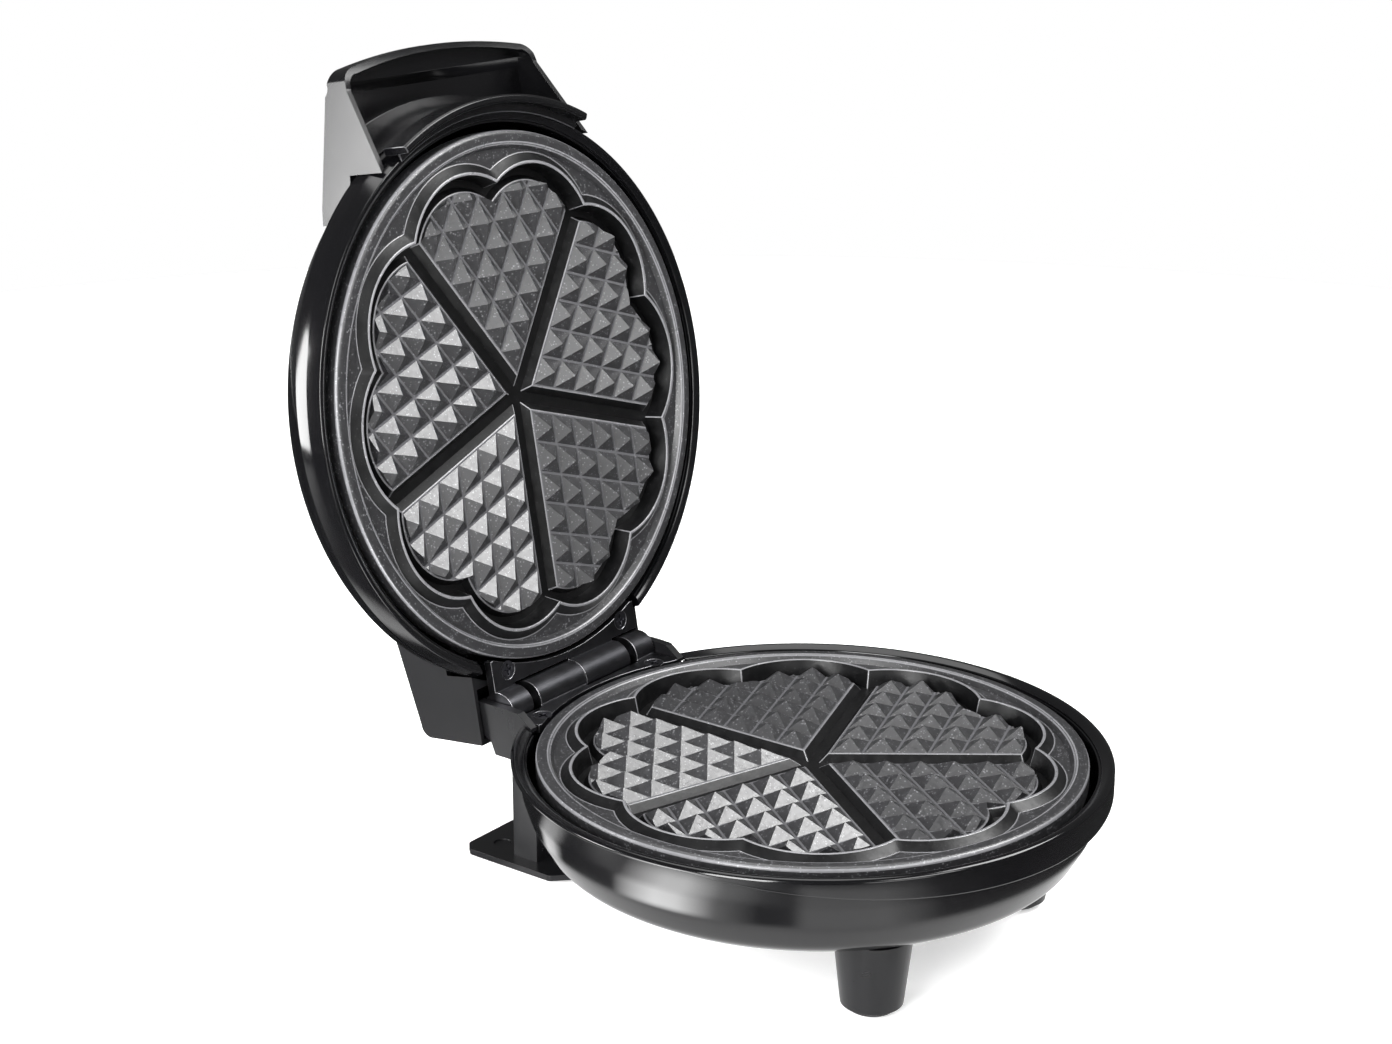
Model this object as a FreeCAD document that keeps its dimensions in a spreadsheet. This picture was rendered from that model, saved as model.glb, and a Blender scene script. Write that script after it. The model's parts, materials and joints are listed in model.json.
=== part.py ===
import FreeCAD, Part
import math
import os

import Sketcher

os.makedirs("parts", exist_ok=True)
doc = FreeCAD.newDocument("WaffleMaker")
V = FreeCAD.Vector

# Axes of the modelling frame: X along the hinge pin, -Y towards the handle, +Z up. The lower
# plate's centre is on the Z axis and its rim is at Z = 0. The lid is drawn closed and then
# swung up about the pin. The finished part stands on Z = 0, centred under its bounding box.
sizes = {
    # where the drawing frame sits in the part's own frame
    "frame_y": -37.26,
    "floor_z": -62.0,
    # hinge
    "pin_y": 110.0,
    "pin_z": 0.5,
    "open_deg": 99.5,
    "pin_r": 2.5,
    "pin_len": 84.8,
    "pin_play": 0.06,
    "barrel_r": 7.3,
    "barrel_len": 26.6,
    "barrel_gap": 0.3,
    "lug_in": 31.0,
    "lug_out": 42.0,
    "leaf_half": 42.0,
    "leaf_t": 3.4,
    "leaf_front": 91.0,
    "leaf_screw_x": 33.4,
    "leaf_screw_y": 96.4,
    "leaf_gap": 0.15,
    # baking plates
    "rim_r": 98.0,
    "rim_in": 93.6,
    "channel_r": 91.4,
    "channel_z": 2.5,
    "plate_floor": 10.4,
    "skirt_z": 8.0,
    "scallop_corner": 84.0,
    "scallop_peak": 90.8,
    "ridge_run": 3.2,
    "ridge_top": 0.2,
    "ridge_w": 0.8,
    "pocket_z": 6.9,
    "pocket_run": 5.4,
    "field_z": 4.2,
    "field_run": 9.8,
    "field_foot": 7.8,
    "spoke_half": 4.5,
    "spoke_foot": 1.7,
    "stud_pitch": 11.8,
    "stud_valley": 0.9,
    "stud_high": 3.7,
    "boss_ring": 46.0,
    "boss_r": 5.0,
    "boss_len": 11.6,
    "lid_lift": 1.0,
    # housings
    "flange_r": 106.8,
    "flange_in": 103.6,
    "lip_in": 101.8,
    "lip_t": 2.0,
    "base_skirt": 12.0,
    "lid_skirt": 17.0,
    "bowl_r": 103.3,
    "bowl_knee": 95.0,
    "bowl_knee_z": 30.5,
    "bowl_floor_z": 34.6,
    "wall": 2.2,
    "dome_r": 106.3,
    "dome_top": 44.5,
    "hinge_slot": 46.5,
    # stand
    "stand_half": 46.0,
    "cheek_in": 42.6,
    "post_half": 37.0,
    "post_front": 97.8,
    "post_back": 109.0,
    "foot_half": 43.0,
    "foot_front": 78.0,
    "foot_back": 130.0,
    "foot_t": 2.3,
    "pad_t": 0.8,
    "front_foot_x": 48.5,
    "front_foot_y": 58.2,
    "front_foot_top": 13.6,
    "front_foot_end": 10.2,
    # handle
    "grip_half": 51.0,
    "grip_root_half": 59.5,
    "grip_tip_y": 133.0,
    "grip_side_y": 123.0,
    "grip_wall": 2.2,
    "guard_r": 110.6,
    "guard_deg": 54.0,
    "guard_drop": 4.5,
    # tail cover
    "tail_half": 48.5,
    "tail_back": 121.5,
    "tail_low": 5.6,
    # heating
    "coil_ring": 66.0,
    "coil_r": 3.2,
    "coil_deg": 320.0,
    "coil_z": 12.4,
    "tray_r": 88.0,
    "tray_z": 20.6,
    "tray_t": 0.7,
}
sheet = doc.addObject("Spreadsheet::Sheet", "Sizes")
for row, (alias, number) in enumerate(sizes.items(), start=1):
    sheet.set("A%d" % row, alias)
    sheet.set("B%d" % row, str(number))
    sheet.setAlias("B%d" % row, alias)
doc.recompute()
dim = {alias: float(sheet.get(alias)) for alias in sizes}


# ---------------------------------------------------------------- helpers
def term(spec):
    """A number, or (alias, offset) or (alias, factor, offset): its value and its expression."""
    if isinstance(spec, str):
        spec = (spec, 1.0, 0.0)
    if isinstance(spec, (int, float)):
        return float(spec), None
    if len(spec) == 2:
        spec = (spec[0], 1.0, spec[1])
    alias, factor, offset = spec
    return dim[alias] * factor + offset, "Sizes.%s * %s + %s" % (alias, factor, offset)


def bind(obj, **props):
    """Set each property to its value and, where it has one, to its expression."""
    for prop, spec in props.items():
        value, expression = term(spec)
        setattr(obj, prop, value)
        if expression:
            obj.setExpression(prop, expression)
    return obj


def newBody(name):
    return doc.addObject("PartDesign::Body", name)


def sketchOn(body, plane, name):
    sketch = body.newObject("Sketcher::SketchObject", name)
    face = [f for f in body.Origin.OriginFeatures if f.Role == plane][0]
    sketch.AttachmentSupport = [(face, "")]
    sketch.MapMode = "FlatFace"
    return sketch


def pin(sketch, kind, geo, pos, spec):
    """Hold one point of a sketch at a distance from its origin."""
    value, expression = term(spec)
    index = sketch.addConstraint(Sketcher.Constraint(kind, -1, 1, geo, pos, value))
    if expression:
        sketch.setExpression("Constraints[%d]" % index, expression)


def loop(sketch, corners):
    """A closed outline of straight sides and arcs. A corner is (u, v), or (u, v, bow) where
    the side that leaves it bows out by that many mm to the right of its direction."""
    flat = [(term(c[0])[0], term(c[1])[0]) for c in corners]
    first = sketch.GeometryCount
    for i, corner in enumerate(corners):
        start = V(flat[i][0], flat[i][1], 0)
        after = flat[(i + 1) % len(flat)]
        end = V(after[0], after[1], 0)
        if len(corner) > 2:
            along = (end - start).normalize()
            middle = (start + end) * 0.5 + V(along.y, -along.x, 0) * corner[2]
            bow = Part.Arc(start, middle, end) if corner[2] > 0 else Part.Arc(end, middle, start)
            sketch.addGeometry(bow, False)
            reach = sketch.Geometry[first + i].Radius
            radius = Sketcher.Constraint("Radius", first + i, reach)
            sketch.addConstraint(radius)
        else:
            sketch.addGeometry(Part.LineSegment(start, end), False)
    for i in range(len(corners)):
        here = first + i
        there = first + (i + 1) % len(corners)
        end_pos = nearEnd(sketch, here, flat[(i + 1) % len(flat)])
        start_pos = nearEnd(sketch, there, flat[(i + 1) % len(flat)])
        sketch.addConstraint(Sketcher.Constraint("Coincident", here, end_pos, there, start_pos))
    for i, corner in enumerate(corners):
        pos = nearEnd(sketch, first + i, flat[i])
        pin(sketch, "DistanceX", first + i, pos, corner[0])
        pin(sketch, "DistanceY", first + i, pos, corner[1])


def nearEnd(sketch, geo, point):
    """Which end of a side, 1 or 2, lies at a point."""
    side = sketch.Geometry[geo]
    target = V(point[0], point[1], 0)
    return 1 if (side.StartPoint - target).Length < (side.EndPoint - target).Length else 2


def dot(sketch, u, v, radius):
    """A full circle."""
    value = term(radius)[0]
    centre = V(term(u)[0], term(v)[0], 0)
    geo = sketch.addGeometry(Part.Circle(centre, V(0, 0, 1), value), False)
    pin(sketch, "DistanceX", geo, 3, u)
    pin(sketch, "DistanceY", geo, 3, v)
    index = sketch.addConstraint(Sketcher.Constraint("Radius", geo, value))
    expression = term(radius)[1]
    if expression:
        sketch.setExpression("Constraints[%d]" % index, expression)


def turned(name, corners, angle=360.0):
    """A body turned about Z from an outline of (radius, height) corners."""
    body = newBody(name)
    sketch = sketchOn(body, "XZ_Plane", name + "_section")
    loop(sketch, corners)
    feature = body.newObject("PartDesign::Revolution", name + "_turn")
    feature.Profile = sketch
    feature.ReferenceAxis = (sketch, ["V_Axis"])
    bind(feature, Angle=angle)
    return body


def slab(name, plane, corners, depth, both=True, holes=()):
    """A body padded from an outline, evenly to both sides of its plane or to one side."""
    body = newBody(name)
    sketch = sketchOn(body, plane, name + "_outline")
    loop(sketch, corners)
    for hole in holes:
        dot(sketch, *hole)
    feature = body.newObject("PartDesign::Pad", name + "_pad")
    feature.Profile = sketch
    feature.SideType = "Symmetric" if both else "One side"
    bind(feature, Length=depth)
    return body


def rod(name, radius, length, at=(0, 0, 0), axis="Z"):
    """A plain cylinder that starts at a point and runs along an axis."""
    obj = bind(doc.addObject("Part::Cylinder", name), Radius=radius, Height=length)
    place(obj, at, axis)
    return obj


def cone(name, low, high, length, at=(0, 0, 0)):
    obj = bind(doc.addObject("Part::Cone", name), Radius1=low, Radius2=high, Height=length)
    place(obj, at, "Z")
    return obj


def block(name, size, at):
    obj = bind(doc.addObject("Part::Box", name), Length=size[0], Width=size[1], Height=size[2])
    place(obj, at, "Z")
    return obj


turns = {
    "Z": FreeCAD.Rotation(),
    "X": FreeCAD.Rotation(V(0, 1, 0), 90),
    "Y": FreeCAD.Rotation(V(1, 0, 0), -90),
    "-Z": FreeCAD.Rotation(V(1, 0, 0), 180),
}


def place(obj, at, axis="Z"):
    """Put an object at a point, each coordinate a number or a size."""
    spots = [term(a) for a in at]
    obj.Placement = FreeCAD.Placement(V(*[s[0] for s in spots]), turns[axis])
    for letter, (value, expression) in zip("xyz", spots):
        if expression:
            obj.setExpression("Placement.Base." + letter, expression)


def cut(name, base, tool):
    obj = doc.addObject("Part::Cut", name)
    obj.Base = base
    obj.Tool = tool
    return obj


def fuse(name, pieces):
    obj = doc.addObject("Part::MultiFuse", name)
    obj.Shapes = pieces
    return obj


def common(name, pieces):
    obj = doc.addObject("Part::MultiCommon", name)
    obj.Shapes = pieces
    return obj


def group(name, pieces):
    """Identical separate solids that share one node."""
    obj = doc.addObject("Part::Compound", name)
    obj.Links = pieces
    return obj


def raw(name, shape):
    """A shape made by Part functions from the sheet's sizes."""
    obj = doc.addObject("Part::Feature", name)
    obj.Shape = shape
    return obj


base_place = FreeCAD.Placement(V(0, dim["frame_y"], -dim["floor_z"]), FreeCAD.Rotation())
swing = FreeCAD.Placement(V(0, 0, 0), FreeCAD.Rotation(V(1, 0, 0), -dim["open_deg"]),
                          V(0, dim["pin_y"], dim["pin_z"]))
lid_place = base_place.multiply(swing)
over = FreeCAD.Placement(V(0, 0, 2 * dim["pin_z"]), FreeCAD.Rotation(V(0, 1, 0), 180))
nodes = {}


def keep(label, obj, lid=False, flipped=False):
    """Register a finished sub-part. A flipped one is drawn as its lower twin."""
    where = lid_place if lid else base_place
    if flipped:
        where = where.multiply(over)
    for letter in "xyz":
        obj.setExpression("Placement.Base." + letter, None)
    obj.Placement = where.multiply(obj.Placement)
    obj.Label = label
    nodes[label] = obj
    doc.recompute()


# ---------------------------------------------------------------- baking plates
def scallops(inset, level):
    """Closed wire round all five hearts: ten lobes, moved inwards by an inset."""
    half = math.radians(18)
    corner = dim["scallop_corner"]
    chord = corner * math.sin(half)
    rise = dim["scallop_peak"] - corner * math.cos(half)
    radius = (chord ** 2 + rise ** 2) / (2 * rise)
    centre = dim["scallop_peak"] - radius
    radius -= inset
    # neighbouring lobes of the moved outline meet on the line between them
    meet = centre * math.cos(half) + math.sqrt(radius ** 2 - (centre * math.sin(half)) ** 2)
    edges = []
    for lobe in range(10):
        ends = []
        for angle in (36 * lobe, 36 * lobe + 36):
            ends.append(V(meet * math.sin(math.radians(angle)),
                          -meet * math.cos(math.radians(angle)), level))
        mid = math.radians(36 * lobe + 18)
        top = centre + radius
        crest = V(top * math.sin(mid), -top * math.cos(mid), level)
        edges.append(Part.Arc(ends[0], crest, ends[1]).toShape())
    return Part.Wire(edges)


def heartWire(run, spoke, level, turn):
    """One heart inside the scallops: two straight sides along the spokes and two lobes."""
    half = math.radians(18)
    corner = dim["scallop_corner"]
    chord = corner * math.sin(half)
    rise = dim["scallop_peak"] - corner * math.cos(half)
    radius = (chord ** 2 + rise ** 2) / (2 * rise)
    centre = dim["scallop_peak"] - radius
    radius -= run
    cx = centre * math.sin(half)
    cy = centre * math.cos(half)
    tip = spoke / math.sin(2 * half)
    notch = cy + math.sqrt(radius ** 2 - cx ** 2)
    # where the side, a line at a distance of the spoke's half width, meets the lobe
    side = V(math.sin(2 * half), math.cos(2 * half), 0)
    start = V(0, tip, 0)
    back = start - V(cx, cy, 0)
    along = -back.dot(side)
    reach = along + math.sqrt(along ** 2 - back.dot(back) + radius ** 2)
    joint = start + side * reach
    toward = (joint - V(cx, cy, 0)).normalize() + (V(0, notch, 0) - V(cx, cy, 0)).normalize()
    crest = V(cx, cy, 0) + toward.normalize() * radius
    spots = [start, joint, crest, V(0, notch, 0)]
    right = [V(p.x, -p.y, level) for p in spots]
    left = [V(-p.x, -p.y, level) for p in spots]
    wire = Part.Wire([
        Part.makeLine(right[0], right[1]),
        Part.Arc(right[1], right[2], right[3]).toShape(),
        Part.Arc(left[3], left[2], left[1]).toShape(),
        Part.makeLine(left[1], left[0]),
    ])
    wire.rotate(V(0, 0, 0), V(0, 0, 1), turn)
    return wire


def stud(corner, across, along, level, high):
    """A four-sided pyramid on a rhombus."""
    gap = dim["stud_valley"]
    shrink = 1 - gap / dim["stud_pitch"]
    middle = corner + (across + along) * 0.5
    ring = [middle + (p - middle) * shrink
            for p in (corner, corner + across, corner + across + along, corner + along)]
    sunk = [p - V(0, 0, 0.4) for p in ring]
    apex = middle + V(0, 0, high)
    faces = [Part.Face(Part.makePolygon(sunk + [sunk[0]]))]
    for i in range(4):
        j = (i + 1) % 4
        faces.append(Part.Face(Part.makePolygon([sunk[i], sunk[j], ring[j], ring[i], sunk[i]])))
        faces.append(Part.Face(Part.makePolygon([ring[i], ring[j], apex, ring[i]])))
    return Part.Solid(Part.makeShell(faces))


def studField(turn):
    """The pyramids of one heart, cut off at the edge of its field."""
    level = -dim["field_z"]
    pitch = dim["stud_pitch"]
    right = V(math.sin(math.radians(36)), -math.cos(math.radians(36)), 0) * pitch
    left = V(-math.sin(math.radians(36)), -math.cos(math.radians(36)), 0) * pitch
    tip = V(0, -dim["spoke_half"] / math.sin(math.radians(36)) - 0.6, level)
    fence = heartWire(dim["field_run"] + 0.5, dim["spoke_half"] + 0.4, level - 1, 0)
    prism = Part.Face(fence).extrude(V(0, 0, 8))
    pieces = []
    for i in range(7):
        for j in range(7):
            corner = tip + right * i + left * j
            if corner.Length > 78:
                continue
            whole = stud(corner, right, left, level, dim["stud_high"])
            part = whole.common(prism)
            if part.Volume > 0.5:
                pieces.extend(part.Solids)
    bunch = Part.makeCompound(pieces)
    bunch.rotate(V(0, 0, 0), V(0, 0, 1), turn)
    return bunch


def bakingPlate(name):
    """Cast plate: turned disc with a beaded rim, a raised scalloped ridge and heart fields."""
    disc = turned(name + "_disc", [
        (0, ("plate_floor", -1, 0)),
        (("rim_r", -5.5), ("plate_floor", -1, 0)),
        (("rim_r", -3.0), ("skirt_z", -1, 0)),
        (("rim_r", -0.5), ("skirt_z", -1, 0)),
        ("rim_r", ("skirt_z", -1, 0.5)),
        ("rim_r", -1.2),
        (("rim_r", -1.0), -0.3, 0.1),
        (("rim_r", -1.8), 0),
        ("rim_in", 0),
        (("rim_in", -0.8), -0.4),
        ("channel_r", ("channel_z", -1, 0)),
        (0, ("channel_z", -1, 0)),
    ])
    level = -dim["channel_z"]
    ridge = Part.makeLoft([scallops(0, level - 0.3), scallops(dim["ridge_run"], dim["ridge_top"])],
                          True, True)
    run = dim["ridge_run"] + dim["ridge_w"]
    pocket = Part.makeLoft([scallops(run, dim["ridge_top"] + 0.01),
                            scallops(dim["pocket_run"], -dim["pocket_z"])], True, True)
    islands = []
    studs = []
    first = studField(0)
    for turn in range(0, 360, 72):
        low = heartWire(dim["field_foot"], dim["spoke_foot"], -dim["pocket_z"] - 0.3, turn)
        high = heartWire(dim["field_run"], dim["spoke_half"], -dim["field_z"], turn)
        islands.append(Part.makeLoft([low, high], True, True))
        bunch = first.copy()
        bunch.rotate(V(0, 0, 0), V(0, 0, 1), turn)
        studs.extend(bunch.Solids)
    ridged = fuse(name + "_ridged", [disc, raw(name + "_ridge", ridge)])
    hollow = cut(name + "_hollow", ridged, raw(name + "_pocket", pocket))
    fields = raw(name + "_fields", islands[0].multiFuse(islands[1:]))
    pyramids = raw(name + "_studs", Part.makeCompound(studs))
    bosses = []
    for i, angle in enumerate((30, 150, 270)):
        spot = V(dim["boss_ring"], 0, 0)
        x = spot.x * math.cos(math.radians(angle))
        y = spot.x * math.sin(math.radians(angle))
        top = ("plate_floor", -1, -dim["boss_len"])
        bosses.append(rod("%s_boss%d" % (name, i), "boss_r", ("boss_len", 0.5), (x, y, top)))
    body = fuse(name + "_cast", [hollow, fields, pyramids] + bosses)
    drills = []
    for i, angle in enumerate((30, 150, 270)):
        x = dim["boss_ring"] * math.cos(math.radians(angle))
        y = dim["boss_ring"] * math.sin(math.radians(angle))
        top = ("plate_floor", -1, -dim["boss_len"] - 1)
        drills.append(rod("%s_drill%d" % (name, i), 1.95, 11.0, (x, y, top)))
    return cut(name, body, fuse(name + "_drills", drills))


keep("lower_baking_plate", bakingPlate("LowerPlate"))
keep("upper_baking_plate", bakingPlate("UpperPlate"), lid=True, flipped=True)


# ---------------------------------------------------------------- heating parts of each half
def coil(name):
    """Tubular element: most of a ring with two cold ends that turn down."""
    body = newBody(name + "_ring")
    sketch = sketchOn(body, "XZ_Plane", name + "_section")
    dot(sketch, "coil_ring", ("coil_z", -1, 0), "coil_r")
    doc.recompute()
    turn = body.newObject("PartDesign::Revolution", name + "_turn")
    turn.Profile = sketch
    turn.ReferenceAxis = (sketch, ["V_Axis"])
    bind(turn, Angle="coil_deg")
    doc.recompute()
    body.Placement = FreeCAD.Placement(V(0, 0, 0), FreeCAD.Rotation(V(0, 0, 1), 110))
    ends = []
    for i, angle in enumerate((70, 110)):
        x = dim["coil_ring"] * math.cos(math.radians(angle))
        y = dim["coil_ring"] * math.sin(math.radians(angle))
        spot = (x, y, ("coil_z", -1, -14.6))
        ends.append(rod("%s_end%d" % (name, i), "coil_r", 14.6, spot))
        ends.append(rod("%s_tab%d" % (name, i), 1.1, 4.0, (x, y, ("coil_z", -1, -18.4))))
    return fuse(name, [body] + ends)


def tray(name):
    """Dished reflector sheet under the element, open at the screws and element ends."""
    sheet_body = turned(name + "_dish", [
        (30, ("tray_z", -1, 0)),
        (("tray_r", -8), ("tray_z", -1, 0)),
        (("tray_r", -0.8), ("tray_z", -1, 6)),
        ("tray_r", ("tray_z", -1, 6)),
        (("tray_r", -7.6), ("tray_z", -1.0, -0.7)),
        (30, ("tray_z", -1, -0.7)),
    ])
    tools = []
    for i, angle in enumerate((30, 150, 270)):
        x = dim["boss_ring"] * math.cos(math.radians(angle))
        y = dim["boss_ring"] * math.sin(math.radians(angle))
        tools.append(rod("%s_clear%d" % (name, i), 5.4, 8, (x, y, -25)))
    for i, angle in enumerate((70, 110)):
        x = dim["coil_ring"] * math.cos(math.radians(angle))
        y = dim["coil_ring"] * math.sin(math.radians(angle))
        tools.append(rod("%s_exit%d" % (name, i), 4.2, 8, (x, y, -25)))
    tools.append(block(name + "_window", (22, 16, 8), (-27, 18, -25)))
    return cut(name, sheet_body, fuse(name + "_holes", tools))


def plateScrews(name):
    """Pan-head screws that draw the lower plate down onto its housing."""
    seat = dim["bowl_floor_z"] - 2.25
    screws = []
    for i, angle in enumerate((30, 150, 270)):
        x = dim["boss_ring"] * math.cos(math.radians(angle))
        y = dim["boss_ring"] * math.sin(math.radians(angle))
        low = -seat - 1.8
        shank = rod("%s_shank%d" % (name, i), 1.9, seat - 14.4, (x, y, -seat - 0.4))
        head = rod("%s_head%d" % (name, i), 3.6, 1.8, (x, y, low))
        slot = block("%s_slot%d" % (name, i), (5.2, 0.9, 0.9), (x - 2.6, y - 0.45, low - 0.1))
        cross = block("%s_cross%d" % (name, i), (0.9, 5.2, 0.9), (x - 0.45, y - 2.6, low - 0.1))
        solid = fuse("%s_rough%d" % (name, i), [shank, head])
        drive = fuse("%s_drive%d" % (name, i), [slot, cross])
        screws.append(cut("%s_one%d" % (name, i), solid, drive))
    return group(name, screws)


def plateStuds(name):
    """Headless screws set in the upper plate's bosses; the lid's posts press onto them."""
    studs = []
    for i, angle in enumerate((30, 150, 270)):
        x = dim["boss_ring"] * math.cos(math.radians(angle))
        y = dim["boss_ring"] * math.sin(math.radians(angle))
        stem = rod("%s_stem%d" % (name, i), 1.9, 19.0, (x, y, -31.5))
        slot = block("%s_slot%d" % (name, i), (5.0, 0.7, 1.0), (x - 2.5, y - 0.35, -31.6))
        studs.append(cut("%s_one%d" % (name, i), stem, slot))
    return group(name, studs)


keep("lower_heating_element", coil("LowerCoil"))
keep("upper_heating_element", coil("UpperCoil"), lid=True, flipped=True)
keep("lower_reflector", tray("LowerTray"))
keep("upper_reflector", tray("UpperTray"), lid=True, flipped=True)


# ---------------------------------------------------------------- base bowl
def bowlOutline(play):
    """Outside of the base bowl, grown by a play, from the top edge down to the floor."""
    return [
        (("bowl_r", play), -2.3),
        (("bowl_r", play), -11.5, 0.35),
        (("bowl_knee", 5.6 + play), -20.5, 0.4),
        (("bowl_knee", play), ("bowl_knee_z", -1, 0), 0.8),
        (("bowl_knee", -6.0 + play), ("bowl_floor_z", -1, 0.4 - play)),
        (("bowl_knee", -9.0), ("bowl_floor_z", -1, -play)),
        (0, ("bowl_floor_z", -1, -play)),
    ]


screw_spots = [(dim["boss_ring"] * math.cos(math.radians(a)),
                dim["boss_ring"] * math.sin(math.radians(a))) for a in (30, 150, 270)]
foot_spots = [(-dim["front_foot_x"], -dim["front_foot_y"]), (dim["front_foot_x"], -dim["front_foot_y"])]

bowl_skin = turned("BowlSkin", bowlOutline(0) + [
    (0, ("bowl_floor_z", -1, 2.2)),
    (("bowl_knee", -9.4), ("bowl_floor_z", -1, 2.2), 0.5),
    (("bowl_knee", -2.2), ("bowl_knee_z", -1, 0.6), 0.5),
    (("bowl_knee", 3.4), -19.9, 0.3),
    (("bowl_r", -2.2), -11.2),
    (("bowl_r", -2.2), -2.3),
])
bowl_posts = []
for i, (x, y) in enumerate(screw_spots):
    bowl_posts.append(rod("BowlPost%d" % i, 5.0, 10.0, (x, y, ("bowl_floor_z", -1, 2.0))))
for i, (x, y) in enumerate(foot_spots):
    bowl_posts.append(rod("FootBoss%d" % i, 6.0, 6.0, (x, y, ("bowl_floor_z", -1, 2.0))))
bowl_solid = fuse("BowlSolid", [bowl_skin] + bowl_posts)
bowl_drills = []
for i, (x, y) in enumerate(screw_spots):
    bowl_drills.append(rod("BowlDrill%d" % i, 2.2, 16.0, (x, y, -37)))
    bowl_drills.append(rod("BowlSink%d" % i, 3.9, 3.0, (x, y, -35.3)))
for i, (x, y) in enumerate(foot_spots):
    bowl_drills.append(rod("FootDrill%d" % i, 1.7, 9.0, (x, y, -37)))
for i in range(5):
    bowl_drills.append(block("Vent%d" % i, (30, 2.6, 6), (-15, -14 + 7 * i, -37)))
bowl_drills.append(block("HingeSlot", (("hinge_slot", 2, 0), 30, 14),
                         (("hinge_slot", -1, 0), 88.5, -12.2)))
bowl_drills.append(block("LeadWay", (16, 20, 6), (-8, 84, -24)))
keep("base_bowl", cut("BaseBowl", bowl_solid, fuse("BowlTools", bowl_drills)))


# ---------------------------------------------------------------- flange rings
def flangeRing(name, depth, low_edge, slope):
    """Overhanging ring with an inward sloping lip; its skirt is cut along a slanted line."""
    skirt = turned(name + "_skirt", [
        ("flange_in", (depth, -1, 0)),
        (("flange_r", -0.4), (depth, -1, 0)),
        ("flange_r", (depth, -1, 0.8)),
        ("flange_r", -1.0, 0.15),
        (("flange_r", -0.8), -0.2),
        ("flange_in", -0.2),
    ])
    wedge = slab(name + "_wedge", "YZ_Plane", [
        (-130, -40),
        (130, -40),
        (130, low_edge),
        (-24, low_edge),
        (-130, low_edge - slope * 106),
    ], 240)
    lip = turned(name + "_lip", [
        ("lip_in", ("lip_t", -1, 0)),
        (("flange_r", -0.02), ("lip_t", -1, 0)),
        ("flange_r", -1.0, 0.15),
        (("flange_r", -0.8), -0.2),
        (("flange_r", -2.2), -0.0),
        (("lip_in", 0.3), -1.5),
    ])
    ring = fuse(name + "_ring", [cut(name + "_shape", skirt, wedge), lip])
    gap = block(name + "_gap", (("hinge_slot", 2, 0), 30, 26), (("hinge_slot", -1, 0), 88.5, -25))
    return cut(name, ring, gap)


keep("base_flange_ring", flangeRing("BaseFlange", "base_skirt", -2.0, 0.105))


def lidRing(name):
    """The lid's ring is deeper than the base's and its slanted edge falls towards the hinge."""
    skirt = turned(name + "_skirt", [
        ("flange_in", ("lid_skirt", -1, 0)),
        (("flange_r", -0.3), ("lid_skirt", -1, 0)),
        ("flange_r", -9.0, 0.3),
        (("flange_r", -1.6), -0.7),
        (("flange_r", -2.0), -0.5),
        ("flange_in", -0.5),
    ])
    wedge = slab(name + "_wedge", "YZ_Plane", [
        (-130, -40),
        (130, -40),
        (130, -5.3),
        (-130, -15.7),
    ], 240)
    lip = turned(name + "_lip", [
        ("lip_in", ("lip_t", -1, -0.5)),
        (("flange_r", -1.4), ("lip_t", -1, -0.5)),
        (("flange_r", -1.6), -0.7),
        (("flange_r", -2.6), -0.5),
        (("lip_in", 0.3), -1.6),
    ])
    ring = fuse(name + "_ring", [cut(name + "_shape", skirt, wedge), lip])
    gap = block(name + "_gap", (("hinge_slot", 2, 0), 30, 26), (("hinge_slot", -1, 0), 88.5, -25))
    return cut(name, ring, gap)


keep("lid_flange_ring", lidRing("LidFlange"), lid=True, flipped=True)


# ---------------------------------------------------------------- lid cover
def domeOutline(play):
    """Outside of the lid's dome, grown by a play, from its crown to its lower edge."""
    return [
        (("dome_r", play), 10.0, 0.15),
        (("dome_r", -2.3 + play), 17.2, 0.45),
        (("dome_r", -11.2 + play), 28.4 + play * 0.6, 0.9),
        (("dome_r", -26.0), ("dome_top", -5.8 + play), 0.7),
        (("dome_r", -58.0), ("dome_top", -1.0 + play), 0.12),
        (24, ("dome_top", play)),
        (0, ("dome_top", play)),
    ]


def domeSolid(name, play):
    return turned(name, [(0, 3.0), (("dome_r", play), 3.0)] + domeOutline(play))


dome_full = turned("DomeSkin", [(("dome_r", -2.2), 3.56), ("dome_r", 3.56)] + domeOutline(0) + [
    (0, ("dome_top", -2.2)),
    (24, ("dome_top", -2.2), -0.12),
    (("dome_r", -58.4), ("dome_top", -3.2), -0.6),
    (("dome_r", -27.2), ("dome_top", -7.8), -0.8),
    (("dome_r", -13.2), 27.4, -0.4),
    (("dome_r", -4.6), 16.6),
    (("dome_r", -5.2), 10.0),
    (("dome_r", -5.2), 3.56),
])
seat = turned("DomeSeat", [("bowl_r", 0), (112, 0), (112, 30), ("bowl_r", 30)])
seat_cut = slab("DomeSeatCut", "YZ_Plane", [(-130, 40), (-130, 17.0), (130, 6.6), (130, 40)], 240)
dome_stepped = cut("DomeStepped", dome_full, cut("DomeRebate", seat, seat_cut))
dome_posts = []
for i, (x, y) in enumerate(screw_spots):
    dome_posts.append(rod("DomePost%d" % i, 5.0, 20.0, (-x, y, 23.4)))
dome_body = fuse("DomeBody", [dome_stepped] + [common("DomePosts", [
    fuse("DomePostSet", dome_posts), domeSolid("DomeLimit", -0.8)])])
dome_tools = []
for i, (x, y) in enumerate(screw_spots):
    dome_tools.append(rod("DomeDrill%d" % i, 1.95, 14.0, (-x, y, 22)))
for i, x in enumerate((-13, 13)):
    dome_tools.append(rod("LampHole%d" % i, 3.6, 12.0, (x, -60, 36)))
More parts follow.
